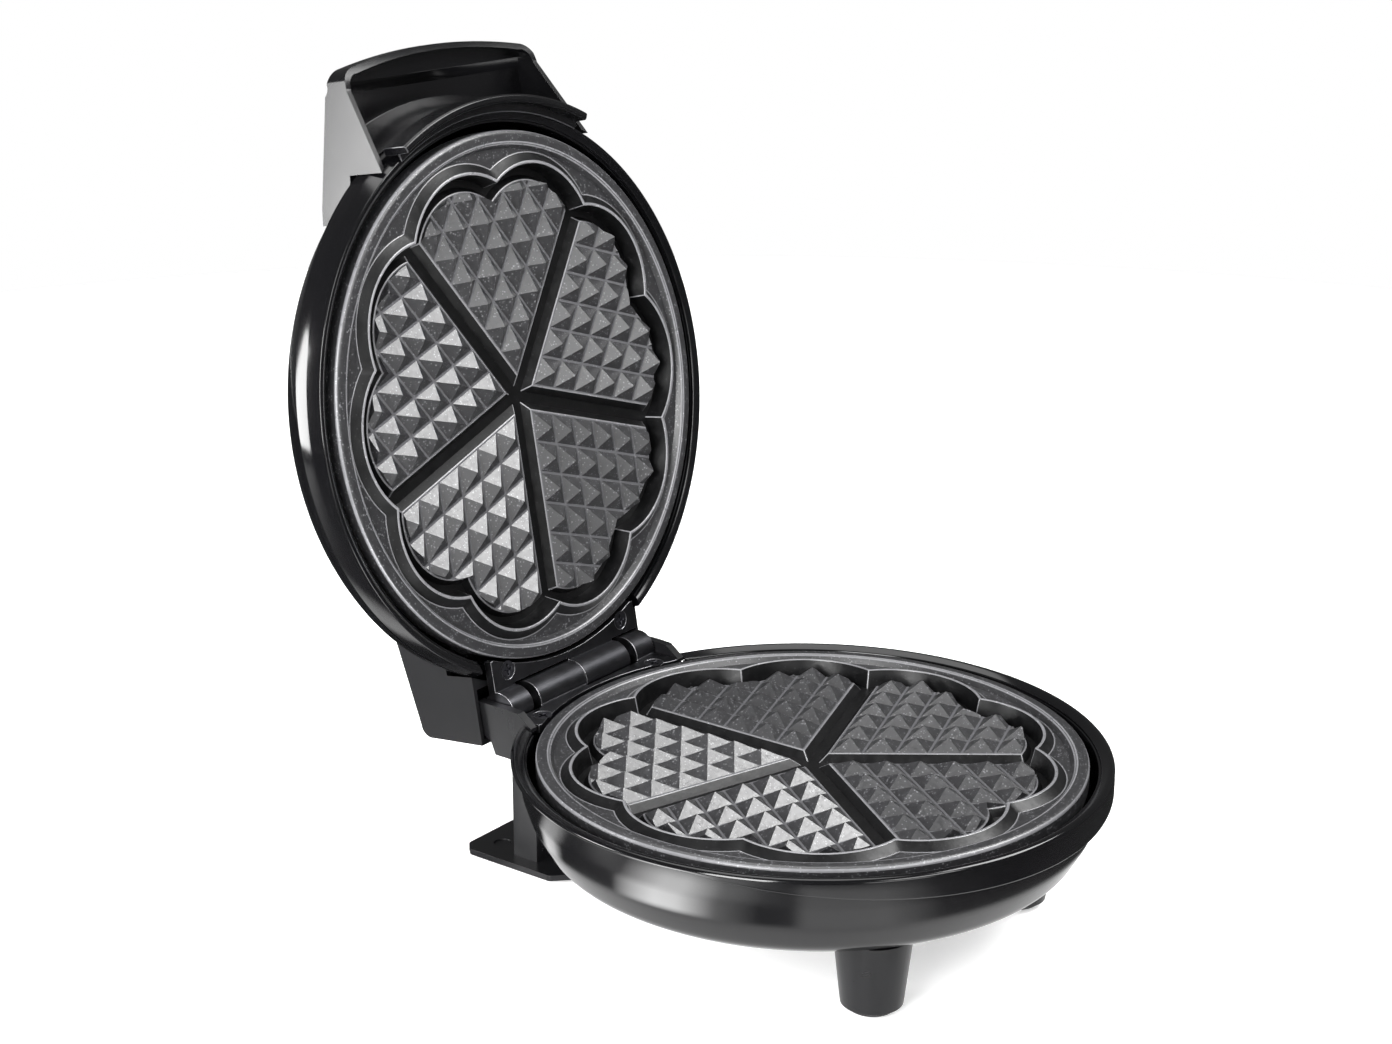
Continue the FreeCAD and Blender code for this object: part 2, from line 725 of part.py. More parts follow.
dome_tools.append(block("DomeSlot", (("hinge_slot", 2, 0), 30, 9.3),
                        (("hinge_slot", -1, 0), 88.5, 0)))
dome_tools.append(block("TailWay", (60, 22, 16), (-30, 84, 12)))
leaf_bosses = []
leaf_pilots = []
for i, x in enumerate((-dim["leaf_screw_x"], dim["leaf_screw_x"])):
    leaf_bosses.append(rod("LeafBoss%d" % i, 3.4, 7.4, (x, "leaf_screw_y", 4.56)))
    leaf_pilots.append(rod("LeafPilotLid%d" % i, 1.85, 9.3, (x, "leaf_screw_y", 4.0)))
dome_open = cut("DomeOpen", dome_body, fuse("DomeTools", dome_tools))
dome_bossed = fuse("DomeBossed", [dome_open] + leaf_bosses)
keep("lid_cover", cut("LidCover", dome_bossed, fuse("LeafPilotsLid", leaf_pilots)), lid=True)

# ---------------------------------------------------------------- handle
lid_limit = domeSolid("DomeEnvelope", 0.06)


def gripPlan(name, shrink, low, high):
    """Plan of the handle between two levels, its walls moved in by a shrink."""
    body = newBody(name)
    sketch = sketchOn(body, "XY_Plane", name + "_plan")
    loop(sketch, [
        (("grip_root_half", -1, shrink), -74 - shrink),
        (("grip_half", -1, shrink), ("grip_side_y", -1, shrink * 0.4), 0.9),
        (("grip_half", -1, 6.0 + shrink * 0.6), ("grip_side_y", -1, -4.4 + shrink), 4.2),
        (("grip_half", 1, -6.0 - shrink * 0.6), ("grip_side_y", -1, -4.4 + shrink), 0.9),
        (("grip_half", 1, -shrink), ("grip_side_y", -1, shrink * 0.4)),
        (("grip_root_half", 1, -shrink), -74 - shrink),
    ])
    doc.recompute()
    pad = body.newObject("PartDesign::Pad", name + "_pad")
    pad.Profile = sketch
    bind(pad, Length=high - low)
    doc.recompute()
    body.Placement = FreeCAD.Placement(V(0, 0, low), FreeCAD.Rotation())
    return body


def gripSide(name, top_drop, low):
    """Side view of the handle: a wedge from the lid's full depth to a thin tip."""
    return slab(name, "YZ_Plane", [
        (-70, 0.9 + low),
        (-88.2, 0.9 + low),
        (-119.5, 18.2 + low, -1.6),
        (-134, 25.6 + low),
        (-134, 26.4 - top_drop),
        (-122.5, 27.9 - top_drop, 0.7),
        (-118.5, 28.9 - top_drop),
        (-80, 32.6 - top_drop),
        (-70, 32.4 - top_drop),
    ], 130)


grip_block = common("GripBlock", [gripPlan("GripPlan", 0, 0, 40), gripSide("GripSide", 0, 0)])
grip_void = common("GripVoid", [
    gripPlan("GripVoidPlan", dim["grip_wall"], -5, 40),
    gripSide("GripVoidSide", dim["grip_wall"], -12),
])
grip_shell = cut("GripShell", grip_block, grip_void)
grip_root = common("GripRoot", [
    turned("GripRib", [
        (98, 12.2), (107.2, 12.2), (112.6, 26.0), (112.6, 29.2), (98, 29.2),
    ]),
    gripPlan("GripRootPlan", 1.0, 0, 40),
    gripSide("GripRootSide", 0.5, -30),
])
grip_fused = fuse("GripFused", [grip_shell, grip_root])
ring_limit = turned("RingEnvelope", [
    (0, 0), (("flange_r", 0.08), 0), (("flange_r", 0.08), 18), (0, 18),
])
keep("handle_grip", cut("HandleGrip", grip_fused, fuse("GripLimit", [lid_limit, ring_limit])),
     lid=True)

# finger guard: a curved blade round the front of the lid's ring
guard_body = newBody("GuardBlade")
guard_sketch = sketchOn(guard_body, "XZ_Plane", "GuardBlade_section")
loop(guard_sketch, [
    (104.4, 0.62),
    (107.3, 0.3, -0.9),
    (("guard_r", -1.0), ("guard_drop", -1, 0)),
    (("guard_r", -0.2), ("guard_drop", -1, 0.2), 0.3),
    ("guard_r", 6.0),
    (("guard_r", -1.2), 7.0),
    (("flange_r", 0.4), 7.0),
    (("flange_r", 0.4), 1.42),
    (104.4, 1.42),
])
doc.recompute()
guard_turn = guard_body.newObject("PartDesign::Revolution", "GuardBlade_turn")
guard_turn.Profile = guard_sketch
guard_turn.ReferenceAxis = (guard_sketch, ["V_Axis"])
bind(guard_turn, Angle="guard_deg")
doc.recompute()
guard_body.Placement = FreeCAD.Placement(
    V(0, 0, 0), FreeCAD.Rotation(V(0, 0, 1), -90 - dim["guard_deg"] / 2))
keep("finger_guard", guard_body, lid=True)

# ---------------------------------------------------------------- tail cover behind the hinge
tail_outer = slab("TailOuter", "YZ_Plane", [
    (74, "tail_low"),
    ("tail_back", "tail_low"),
    (("tail_back", -1.1), 30.2, 1.6),
    (("tail_back", -6.0), 35.4),
    (83, 41.6),
    (74, 41.6),
], ("tail_half", 2, 0))
tail_inner = slab("TailInner", "YZ_Plane", [
    (70, ("tail_low", 5.4)),
    (("tail_back", -2.4), ("tail_low", 5.4)),
    (("tail_back", -3.4), 29.6, 1.0),
    (("tail_back", -7.4), 33.4),
    (83, 39.2),
    (70, 39.2),
], ("tail_half", 2, -4.8))
tail_recess = rod("TailRecess", ("barrel_r", 3.5), ("hinge_slot", 2, 0.8),
                  (("hinge_slot", -1, -0.4), "pin_y", "pin_z"), "X")
tail_tools = fuse("TailTools", [tail_inner, tail_recess, ring_limit, domeSolid("TailEnvelope", 0.06)])
keep("hinge_cover", cut("HingeCover", tail_outer, tail_tools), lid=True)


# ---------------------------------------------------------------- hinge
def leaf(name, barrel_side):
    """One cast leaf, drawn as the base's: flange, its long barrel and the lug past the other."""
    plate = block(name + "_plate", (("leaf_half", 2, 0), 11.0, "leaf_t"),
                  (("leaf_half", -1, 0), "leaf_front", ("leaf_t", -1, -0.1)))
    webs = []
    barrels = []
    gap = dim["barrel_gap"]
    spans = [(gap / 2, gap / 2 + dim["barrel_len"]), (-dim["lug_out"], -dim["lug_in"])]
    for i, (low, high) in enumerate(spans):
        if barrel_side < 0:
            low, high = -high, -low
        webs.append(block("%s_web%d" % (name, i), (high - low, 12.0, "leaf_t"),
                          (low, 98.0, ("leaf_t", -1, -0.1))))
        barrels.append(rod("%s_barrel%d" % (name, i), "barrel_r", high - low,
                           (low, "pin_y", "pin_z"), "X"))
    solid = fuse(name + "_solid", [plate] + webs + barrels)
    bore = rod(name + "_bore", ("pin_r", dim["pin_play"]), 100,
               (-50, "pin_y", "pin_z"), "X")
    trim = rod(name + "_trim", 99.4, 20, (0, 0, -10))
    tools = [bore, trim]
    for i, x in enumerate((-dim["leaf_screw_x"], dim["leaf_screw_x"])):
        tools.append(rod("%s_hole%d" % (name, i), 1.9, 8, (x, "leaf_screw_y", -6)))
        tools.append(cone("%s_sink%d" % (name, i), 1.9, 3.7, 1.9, (x, "leaf_screw_y", -2.0)))
    return cut(name, solid, fuse(name + "_tools", tools))


def leafScrews(name):
    """Countersunk cross-head screws through the leaf."""
    screws = []
    for i, x in enumerate((-dim["leaf_screw_x"], dim["leaf_screw_x"])):
        shank = rod("%s_shank%d" % (name, i), 1.8, 10.4, (x, "leaf_screw_y", -12.0))
        head = cone("%s_head%d" % (name, i), 1.8, 3.5, 1.7, (x, "leaf_screw_y", -1.95))
        solid = fuse("%s_rough%d" % (name, i), [shank, head])
        drive = fuse("%s_drive%d" % (name, i), [
            block("%s_slot%d" % (name, i), (4.4, 0.8, 1.0), (x - 2.2, dim["leaf_screw_y"] - 0.4, -1.0)),
            block("%s_bar%d" % (name, i), (0.8, 4.4, 1.0), (x - 0.4, dim["leaf_screw_y"] - 2.2, -1.0)),
        ])
        screws.append(cut("%s_one%d" % (name, i), solid, drive))
    return group(name, screws)


keep("base_hinge_leaf", leaf("BaseLeaf", -1))
keep("lid_hinge_leaf", leaf("LidLeaf", -1), lid=True, flipped=True)
keep("base_hinge_screws", leafScrews("BaseLeafScrews"))
keep("lid_hinge_screws", leafScrews("LidLeafScrews"), lid=True, flipped=True)
keep("hinge_pin", rod("HingePin", "pin_r", "pin_len", (("pin_len", -0.5, 0), "pin_y", "pin_z"), "X"))

# ---------------------------------------------------------------- rear stand
bowl_limit = turned("BowlEnvelope", [(0, -2.0), (("bowl_r", 0.06), -2.0)] + bowlOutline(0.06)[1:])
saddle_block = slab("SaddleBlock", "YZ_Plane", [
    (91.6, -12.0),
    (91.6, -0.6),
    (97.6, 3.9),
    (104.0, 4.3),
    (116.4, 4.3, -1.4),
    (119.2, 0.2, -1.2),
    (116.4, -6.6, -0.5),
    (111.2, -9.9),
    ("post_back", -15.0),
    (96.5, -15.0),
], ("stand_half", 2, 0))
saddle_well = fuse("SaddleWell", [
    rod("WellBarrel", ("barrel_r", 0.6), ("cheek_in", 2, 0), (("cheek_in", -1, 0), "pin_y", "pin_z"), "X"),
    slab("WellTop", "YZ_Plane", [
        (85, ("leaf_t", -1, -0.15)), (110, ("leaf_t", -1, -0.15)), (117.9, 0.5), (117.9, 9), (85, 9),
    ], ("cheek_in", 2, 0)),
])
cheek_bevels = []
for i, side in enumerate((-1, 1)):
    bevel = block("CheekBevel%d" % i, (12, 60, 12), (-6, 80, 0))
    bevel.Placement = FreeCAD.Placement(V(side * 49.6, 0, 5.6), FreeCAD.Rotation(V(0, 1, 0), side * 30))
    cheek_bevels.append(bevel)
saddle_raw = cut("SaddleRaw", saddle_block, fuse("SaddleBevels", cheek_bevels))
saddle_shell = cut("SaddleShell", saddle_raw, saddle_well)
saddle_hollow = slab("SaddleHollow", "YZ_Plane", [
    (90, -10.4),
    (90, -6.4),
    (101.6, -6.4),
    (104.6, -8.8),
    (109.4, -8.8),
    (108.6, -10.4),
    (106.7, -16),
    (99, -16),
], ("post_half", 2, -4.4))
post_block = block("PostBlock", (("post_half", 2, 0), 11.2, ("floor_z", -1, -14.4)),
                   (("post_half", -1, 0), "post_front", ("floor_z", 1.0, 3.1)))
post_core = block("PostCore", (("post_half", 2, -4.4), 6.8, 50),
                  (("post_half", -1, 2.2), ("post_front", 2.2), ("floor_z", 1.0, 2.0)))
post_bosses = [rod("PostBoss%d" % i, 3.7, 12, (x, 103.4, ("floor_z", 1.0, 3.1)))
               for i, x in enumerate((-31.4, 31.4))]
stand_hull = fuse("StandHull", [saddle_shell, post_block])
stand_core = cut("StandCore", fuse("StandVoid", [saddle_hollow, post_core]), fuse("StandKeep", post_bosses))
stand_body = cut("StandBody", stand_hull, stand_core)
stand_tools = [rod("PostPilot%d" % i, 1.3, 11, (x, 103.4, ("floor_z", 1.0, 2.0)))
               for i, x in enumerate((-31.4, 31.4))]
stand_tools.append(rod("CordHole", 5.0, 8, (20, 105.5, -48), "Y"))
for i, x in enumerate((-dim["leaf_screw_x"], dim["leaf_screw_x"])):
    stand_tools.append(rod("LeafPilot%d" % i, 1.9, 12, (x, "leaf_screw_y", -14)))
stand_tools.append(bowl_limit)
ring_clear = turned("StandRingClear", [(90, -2.6), ("flange_r", -2.6), ("flange_r", 6), (90, 6)])
side_zone = cut("RingZone", ring_clear, block("RingZoneKeep", (("hinge_slot", 2, -0.6), 60, 30),
                                              (("hinge_slot", -1, 0.3), 80, -10)))
stand_tools.append(side_zone)
stand_tools.append(rod("PlateClear", ("rim_r", 0.8), 40, (0, 0, -11.9)))
keep("rear_stand", cut("RearStand", stand_body, fuse("StandTools", stand_tools)))

plate_body = newBody("FootPlateBody")
plate_sketch = sketchOn(plate_body, "XY_Plane", "FootPlate_outline")
loop(plate_sketch, [
    (("foot_half", -1, 4), "foot_back"),
    (("foot_half", -1, 0), ("foot_back", -4)),
    (("foot_half", -1, 0), ("foot_front", 9)),
    (("foot_half", -1, 9), "foot_front"),
    (("foot_half", 1, -9), "foot_front"),
    ("foot_half", ("foot_front", 9)),
    ("foot_half", ("foot_back", -4)),
    (("foot_half", 1, -4), "foot_back"),
])
plate_pad = plate_body.newObject("PartDesign::Pad", "FootPlate_pad")
plate_pad.Profile = plate_sketch
bind(plate_pad, Length="foot_t")
doc.recompute()
upright = ["Edge%d" % (i + 1) for i, e in enumerate(plate_pad.Shape.Edges)
           if abs(e.Vertexes[0].Z - e.Vertexes[-1].Z) > 1]
plate_round = plate_body.newObject("PartDesign::Fillet", "FootPlate_round")
plate_round.Base = (plate_pad, upright)
plate_round.Radius = 3.0
plate_body.Placement = FreeCAD.Placement(V(0, 0, dim["floor_z"] + dim["pad_t"]), FreeCAD.Rotation())
plate_tools = []
for i, x in enumerate((-31.4, 31.4)):
    plate_tools.append(rod("FootPilot%d" % i, 1.7, 6, (x, 103.4, ("floor_z", 1.0, -1))))
    plate_tools.append(rod("FootSink%d" % i, 3.3, 2.3, (x, 103.4, ("floor_z", 1.0, -0.2))))
    plate_tools.append(rod("FootDimple%d" % i, 3.4, 2.0, (x, 119.6, ("floor_z", 1.0, 2.6))))
keep("rear_foot_plate", cut("RearFootPlate", plate_body, fuse("FootPlateTools", plate_tools)))

post_screws = []
for i, x in enumerate((-31.4, 31.4)):
    head = rod("PostScrewHead%d" % i, 3.1, 1.0, (x, 103.4, ("floor_z", 1.0, 1.05)))
    slot = block("PostScrewSlot%d" % i, (7, 0.8, 0.5), (x - 3.5, 103.0, ("floor_z", 1.0, 0.95)))
    shank = rod("PostScrewShank%d" % i, 1.25, 8.5, (x, 103.4, ("floor_z", 1.0, 2.0)))
    post_screws.append(cut("PostScrew%d" % i, fuse("PostScrewRough%d" % i, [head, shank]), slot))
keep("rear_plate_screws", group("RearPlateScrews", post_screws))

for label, x in (("rear_pad_left", -27.0), ("rear_pad_right", 27.0)):
    strip = slab("Strip" + label[-4:], "XY_Plane", [
        (-9, 84), (9, 84, 0.9), (9, 96, 1.5), (-9, 96, 0.9),
    ], "pad_t", both=False)
    strip.Placement = FreeCAD.Placement(V(x, 0, dim["floor_z"]), FreeCAD.Rotation())
    tail = slab("Tail" + label[-4:], "XY_Plane", [
        (-9, 112), (9, 112, 0.9), (9, 125, 1.5), (-9, 125, 0.9),
    ], "pad_t", both=False)
    tail.Placement = strip.Placement
    keep(label, group("Pads" + label[-4:], [strip, tail]))

# ---------------------------------------------------------------- front feet
foot_drop = -dim["floor_z"] - dim["bowl_floor_z"]
foot_body = [
    (0, 0),
    ("front_foot_top", 0),
    (("front_foot_end", 0.5), ("floor_z", 1, 36.6)),
    (("front_foot_end", -1.6), ("floor_z", 1, 35.4)),
    (("front_foot_end", -2.0), ("floor_z", 1, 35.4)),
    (("front_foot_end", -2.0), ("floor_z", 1, 37.0)),
    (0, ("floor_z", 1, 37.0)),
]
for side, (x, y) in zip(("left", "right"), foot_spots):
    cone_body = turned("Foot_" + side, foot_body)
    cone_body.Placement = FreeCAD.Placement(V(x, y, -dim["bowl_floor_z"]), FreeCAD.Rotation())
    well = [rod("FootBore_" + side, 3.4, 20.0, (x, y, ("floor_z", 1.0, 1.0))),
            rod("FootPilot_" + side, 2.0, 30.0, (x, y, ("floor_z", 1.0, 1.0)))]
    keep("front_foot_" + side, cut("FrontFoot_" + side, cone_body, fuse("FootWell_" + side, well)))
    pad = rod("FootPad_" + side, ("front_foot_end", -2.1), 2.2, (x, y, "floor_z"))
    keep("front_pad_" + side, pad)
foot_screws = []
for i, (x, y) in enumerate(foot_spots):
    head = rod("FootScrewHead%d" % i, 3.0, 2.0, (x, y, ("floor_z", 1.0, 19.0)))
    shank = rod("FootScrewShank%d" % i, 1.6, 12.8, (x, y, ("floor_z", 1.0, 21.0)))
    foot_screws.append(fuse("FootScrew%d" % i, [head, shank]))
keep("front_foot_screws", group("FrontFootScrews", foot_screws))

# ---------------------------------------------------------------- screws of the plates
keep("lower_plate_screws", plateScrews("LowerPlateScrews"))
keep("upper_plate_studs", plateStuds("UpperPlateStuds"), lid=True, flipped=True)

# ---------------------------------------------------------------- controls and wiring
thermostat = fuse("Thermostat", [
    rod("ThermostatCan", 8.0, 6.0, (-16, 26, ("plate_floor", -1, -6.05))),
    rod("ThermostatFlange", 10.5, 0.8, (-16, 26, ("plate_floor", -1, -0.85))),
    block("ThermostatBase", (18, 12, 4.5), (-25, 20, ("plate_floor", -1, -10.5))),
    block("ThermostatTagA", (0.8, 5, 6.5), (-23, 23.5, ("plate_floor", -1, -17))),
    block("ThermostatTagB", (0.8, 5, 6.5), (-9.8, 23.5, ("plate_floor", -1, -17))),
])
keep("thermostat", thermostat)
fuse_link = fuse("ThermalFuse", [
    rod("FuseCan", 3.0, 14.0, (-7, 30, ("plate_floor", -1, -3.2)), "X"),
    rod("FuseLeadA", 0.7, 9.0, (-16, 30, ("plate_floor", -1, -3.2)), "X"),
    rod("FuseLeadB", 0.7, 9.0, (7, 30, ("plate_floor", -1, -3.2)), "X"),
])
keep("thermal_fuse", fuse_link, lid=True, flipped=True)
clamp = cut("FuseClamp", block("ClampBar", (6, 16, 4.0), (-3, 22, ("plate_floor", -1, -7.5))),
            rod("ClampBore", 3.05, 30, (-15, 30, ("plate_floor", -1, -3.2)), "X"))
keep("fuse_clamp", clamp, lid=True, flipped=True)

blocks = block("TerminalBody", (34, 14, 9.0), (-17, 58, ("bowl_floor_z", -1, 2.2)))
terminal_holes = []
for i in range(3):
    x = -11 + 11 * i
    terminal_holes.append(rod("TerminalWay%d" % i, 1.8, 20, (x, 55, ("bowl_floor_z", -1, 6.0)), "Y"))
    terminal_holes.append(rod("TerminalScrewWell%d" % i, 2.2, 4, (x, 65, ("bowl_floor_z", -1, 8.6))))
keep("terminal_block", cut("TerminalBlock", blocks, fuse("TerminalWays", terminal_holes)))


def wire(name, spots, radius):
    """A round lead through a row of points, bent smoothly."""
    curve = Part.BSplineCurve()
    curve.interpolate([V(*p) for p in spots])
    path = Part.Wire(curve.toShape())
    start = V(*spots[0])
    tangent = curve.tangent(curve.FirstParameter)[0]
    ring = Part.Wire(Part.makeCircle(radius, start, tangent))
    return raw(name, path.makePipeShell([ring], True, True))


coil_x = dim["coil_ring"] * math.cos(math.radians(70))
coil_y = dim["coil_ring"] * math.sin(math.radians(70))
tab_z = -dim["coil_z"] - 16.8
way_z = -dim["bowl_floor_z"] + 6.0
element_wires = []
for letter, side in (("A", 1), ("B", -1)):
    element_wires.append(wire("Lead" + letter, [
        (side * coil_x, coil_y + 1.5, tab_z - 0.4),
        (side * (coil_x + 2), coil_y + 6.5, tab_z + 0.2),
        (side * 20.5, 76.5, way_z),
        (side * 14, 78.6, way_z),
        (side * 11, 75, way_z),
        (side * 11, 71, way_z),
    ], 1.1))
keep("element_leads", group("ElementLeads", element_wires))
keep("thermostat_leads", group("ThermostatLeads", [
    wire("LeadC", [(-24.4, 26, -26), (-26.2, 30, -28.4), (-22, 44, -29.6), (-12, 53, way_z),
                   (-11, 57.2, way_z)], 1.0),
    wire("LeadD", [(-7.6, 26, -26), (-6.2, 30, -28.0), (-4, 42, -29.6), (-1, 52, way_z),
                   (0, 57.2, way_z)], 1.0),
]))

cord_gland = cut("CordGland", fuse("GlandBody", [
    rod("GlandNeck", 4.9, 5.4, (20, 106.2, -48), "Y"),
    rod("GlandCollar", 6.8, 1.8, (20, 109.02, -48), "Y"),
    rod("GlandLip", 6.0, 1.2, (20, 105.4, -48), "Y"),
]), rod("GlandBore", 3.2, 20, (20, 98, -48), "Y"))
keep("cord_gland", cord_gland)

# ---------------------------------------------------------------- indicator lamps on the lid
for side, x in (("red", -13), ("green", 13)):
    lens = fuse("Lens_" + side, [
        rod("LensStem_" + side, 3.5, 6.2, (x, -60, 37.0)),
        cone("LensCap_" + side, 3.5, 2.8, 0.7, (x, -60, 43.2)),
        rod("LensRim_" + side, 4.4, 0.8, (x, -60, 37.4)),
    ])
    keep("lamp_lens_" + side, lens, lid=True)

# ---------------------------------------------------------------- write
doc.recompute()
for obj in doc.Objects:
    wrong = [state for state in obj.State if state in ("Invalid", "Error")]
    if wrong:
        raise RuntimeError("%s is %s" % (obj.Name, wrong))
for label, obj in nodes.items():
    if obj.Shape.isNull() or not obj.Shape.isValid():
        raise RuntimeError("bad shape in " + label)
    obj.Shape.exportStep("parts/%s.step" % label)
    print("wrote", label, len(obj.Shape.Solids), "solids", round(obj.Shape.Volume), "mm3")
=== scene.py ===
import json
import math

import bmesh
import bpy
from mathutils import Matrix, Vector


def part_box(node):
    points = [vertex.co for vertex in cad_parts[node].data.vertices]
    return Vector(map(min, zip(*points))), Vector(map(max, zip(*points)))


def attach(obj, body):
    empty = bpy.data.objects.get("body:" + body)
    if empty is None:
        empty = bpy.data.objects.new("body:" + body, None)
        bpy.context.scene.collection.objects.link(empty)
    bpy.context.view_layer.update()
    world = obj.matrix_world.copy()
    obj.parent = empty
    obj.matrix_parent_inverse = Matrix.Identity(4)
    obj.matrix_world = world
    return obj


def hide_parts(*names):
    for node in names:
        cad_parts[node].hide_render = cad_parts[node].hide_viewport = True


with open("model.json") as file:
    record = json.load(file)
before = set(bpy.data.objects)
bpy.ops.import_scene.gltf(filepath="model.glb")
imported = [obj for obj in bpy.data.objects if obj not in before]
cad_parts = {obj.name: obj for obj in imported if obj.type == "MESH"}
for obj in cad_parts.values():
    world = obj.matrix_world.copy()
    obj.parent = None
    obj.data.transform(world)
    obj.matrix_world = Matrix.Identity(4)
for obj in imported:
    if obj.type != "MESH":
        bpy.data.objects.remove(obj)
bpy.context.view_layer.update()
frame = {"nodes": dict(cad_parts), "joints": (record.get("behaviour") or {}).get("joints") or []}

scene = bpy.context.scene
mm = 0.001

# where things are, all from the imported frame
plateLow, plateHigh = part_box("lower_baking_plate")
ridgeTop = 0.2                                    # mm the scalloped ridge stands above the plate's rim
plateOrigin = Vector(((plateLow.x + plateHigh.x) / 2, (plateLow.y + plateHigh.y) / 2,
                      plateHigh.z - ridgeTop * mm))
hinge = frame["joints"][0]
hingeSpot = Vector(hinge["pos_m"])
openAngle = math.radians(hinge["range_deg"][1])

# plate space is millimetres: X along the hinge, -Y to the handle, rim of the lower plate at Z 0
baseSpace = Matrix.Translation(plateOrigin) @ Matrix.Scale(mm, 4)
swingOpen = (Matrix.Translation(hingeSpot) @ Matrix.Rotation(-openAngle, 4, "X")
             @ Matrix.Translation(-hingeSpot))
lidSpace = swingOpen @ baseSpace                  # the lid drawn closed, then swung up
faceDown = Matrix(((-1, 0, 0, 0), (0, 1, 0, 0), (0, 0, -1, 1), (0, 0, 0, 1)))      # 1 mm between the rims
lidTwinSpace = lidSpace @ faceDown                # a lid part drawn as its lower twin

# camera, metres and millimetres of lens
viewPoint = {"from": (-0.6660, -0.48216, 0.4020), "at": (-0.0245, -0.00436, 0.1461), "lens": 62.94,
             "sensor": 36, "near": 0.05, "far": 30}
cameraData = bpy.data.cameras.new("viewCamera")
cameraData.lens = viewPoint["lens"]
cameraData.sensor_width = viewPoint["sensor"]
cameraData.clip_start = viewPoint["near"]
cameraData.clip_end = viewPoint["far"]
viewCamera = bpy.data.objects.new("viewCamera", cameraData)
scene.collection.objects.link(viewCamera)
viewCamera.location = viewPoint["from"]
aim = Vector(viewPoint["at"]) - viewCamera.location
viewCamera.rotation_euler = aim.to_track_quat("-Z", "Y").to_euler()
scene.camera = viewCamera
print("camera set")


# materials
def hexColour(code):
    # sRGB hex to linear
    channels = [int(code[i:i + 2], 16) / 255 for i in (1, 3, 5)]
    return tuple(c / 12.92 if c <= 0.04045 else ((c + 0.055) / 1.055) ** 2.4 for c in channels) + (1,)


def addNode(tree, kind, settings=None, inputs=None):
    node = tree.nodes.new(kind)
    for key, value in (settings or {}).items():
        setattr(node, key, value)
    for key, value in (inputs or {}).items():
        if isinstance(value, bpy.types.NodeSocket):
            tree.links.new(value, node.inputs[key])
        else:
            node.inputs[key].default_value = value
    return node


def newFinish(name):
    # a bare material with its shader and the place on the piece
    material = bpy.data.materials.new(name)
    material.use_nodes = True
    tree = material.node_tree
    place = addNode(tree, "ShaderNodeTexCoord").outputs["Object"]
    return material, tree, tree.nodes["Principled BSDF"], place


def surfaceOf(tree, shader, look, drift, broad, broadHeight, fine, fineHeight):
    # gloss that drifts with one noise, relief from a broad and a fine one, and the plain values
    gloss = addNode(tree, "ShaderNodeMapRange", inputs={
        "Value": drift.outputs["Fac"], "From Min": 0.3, "From Max": 0.7,
        "To Min": look["rough"][0], "To Max": look["rough"][1]})
    tree.links.new(gloss.outputs["Result"], shader.inputs["Roughness"])
    broadBump = addNode(tree, "ShaderNodeBump", inputs={
        "Height": broad.outputs["Fac"], "Distance": broadHeight * mm, "Strength": 1.0})
    fineBump = addNode(tree, "ShaderNodeBump", inputs={
        "Height": fine.outputs["Fac"], "Distance": fineHeight * mm, "Strength": 1.0,
        "Normal": broadBump.outputs["Normal"]})
    tree.links.new(fineBump.outputs["Normal"], shader.inputs["Normal"])
    for socket, key in (("Metallic", "metallic"), ("IOR", "ior"), ("Specular IOR Level", "shine"),
                        ("Transmission Weight", "clear")):
        if key in look:
            shader.inputs[socket].default_value = look[key]


def mouldedFinish(name, look):
    # cloudy colour and gloss at two sizes, a slow surface wave and a fine grain, all in real millimetres;
    # most real grain is under 0.2 mm, and it is drawn at 0.4 to 0.9 mm so that it shows
    material, tree, shader, place = newFinish(name)
    cloud = addNode(tree, "ShaderNodeTexNoise", inputs={
        "Vector": place, "Scale": 1000 / look["cloudMm"], "Detail": 3.0, "Roughness": 0.55})
    shade = addNode(tree, "ShaderNodeMix", {"data_type": "RGBA"}, {
        "Factor": cloud.outputs["Fac"], 6: hexColour(look["shade"]), 7: hexColour(look["shadeTo"])})
    tree.links.new(shade.outputs[2], shader.inputs["Base Color"])
    smear = addNode(tree, "ShaderNodeTexNoise", inputs={
        "Vector": place, "Scale": 1000 / look["smearMm"], "Detail": 4.0, "Distortion": 0.6})
    wave = addNode(tree, "ShaderNodeTexNoise", inputs={
        "Vector": place, "Scale": 1000 / look["waveMm"], "Detail": 1.0})
    grain = addNode(tree, "ShaderNodeTexNoise", inputs={
        "Vector": place, "Scale": 1000 / look["grainMm"], "Detail": 2.0})
    surfaceOf(tree, shader, look, smear, wave, look["waveHeight"], grain, look["grainHeight"])
    return material


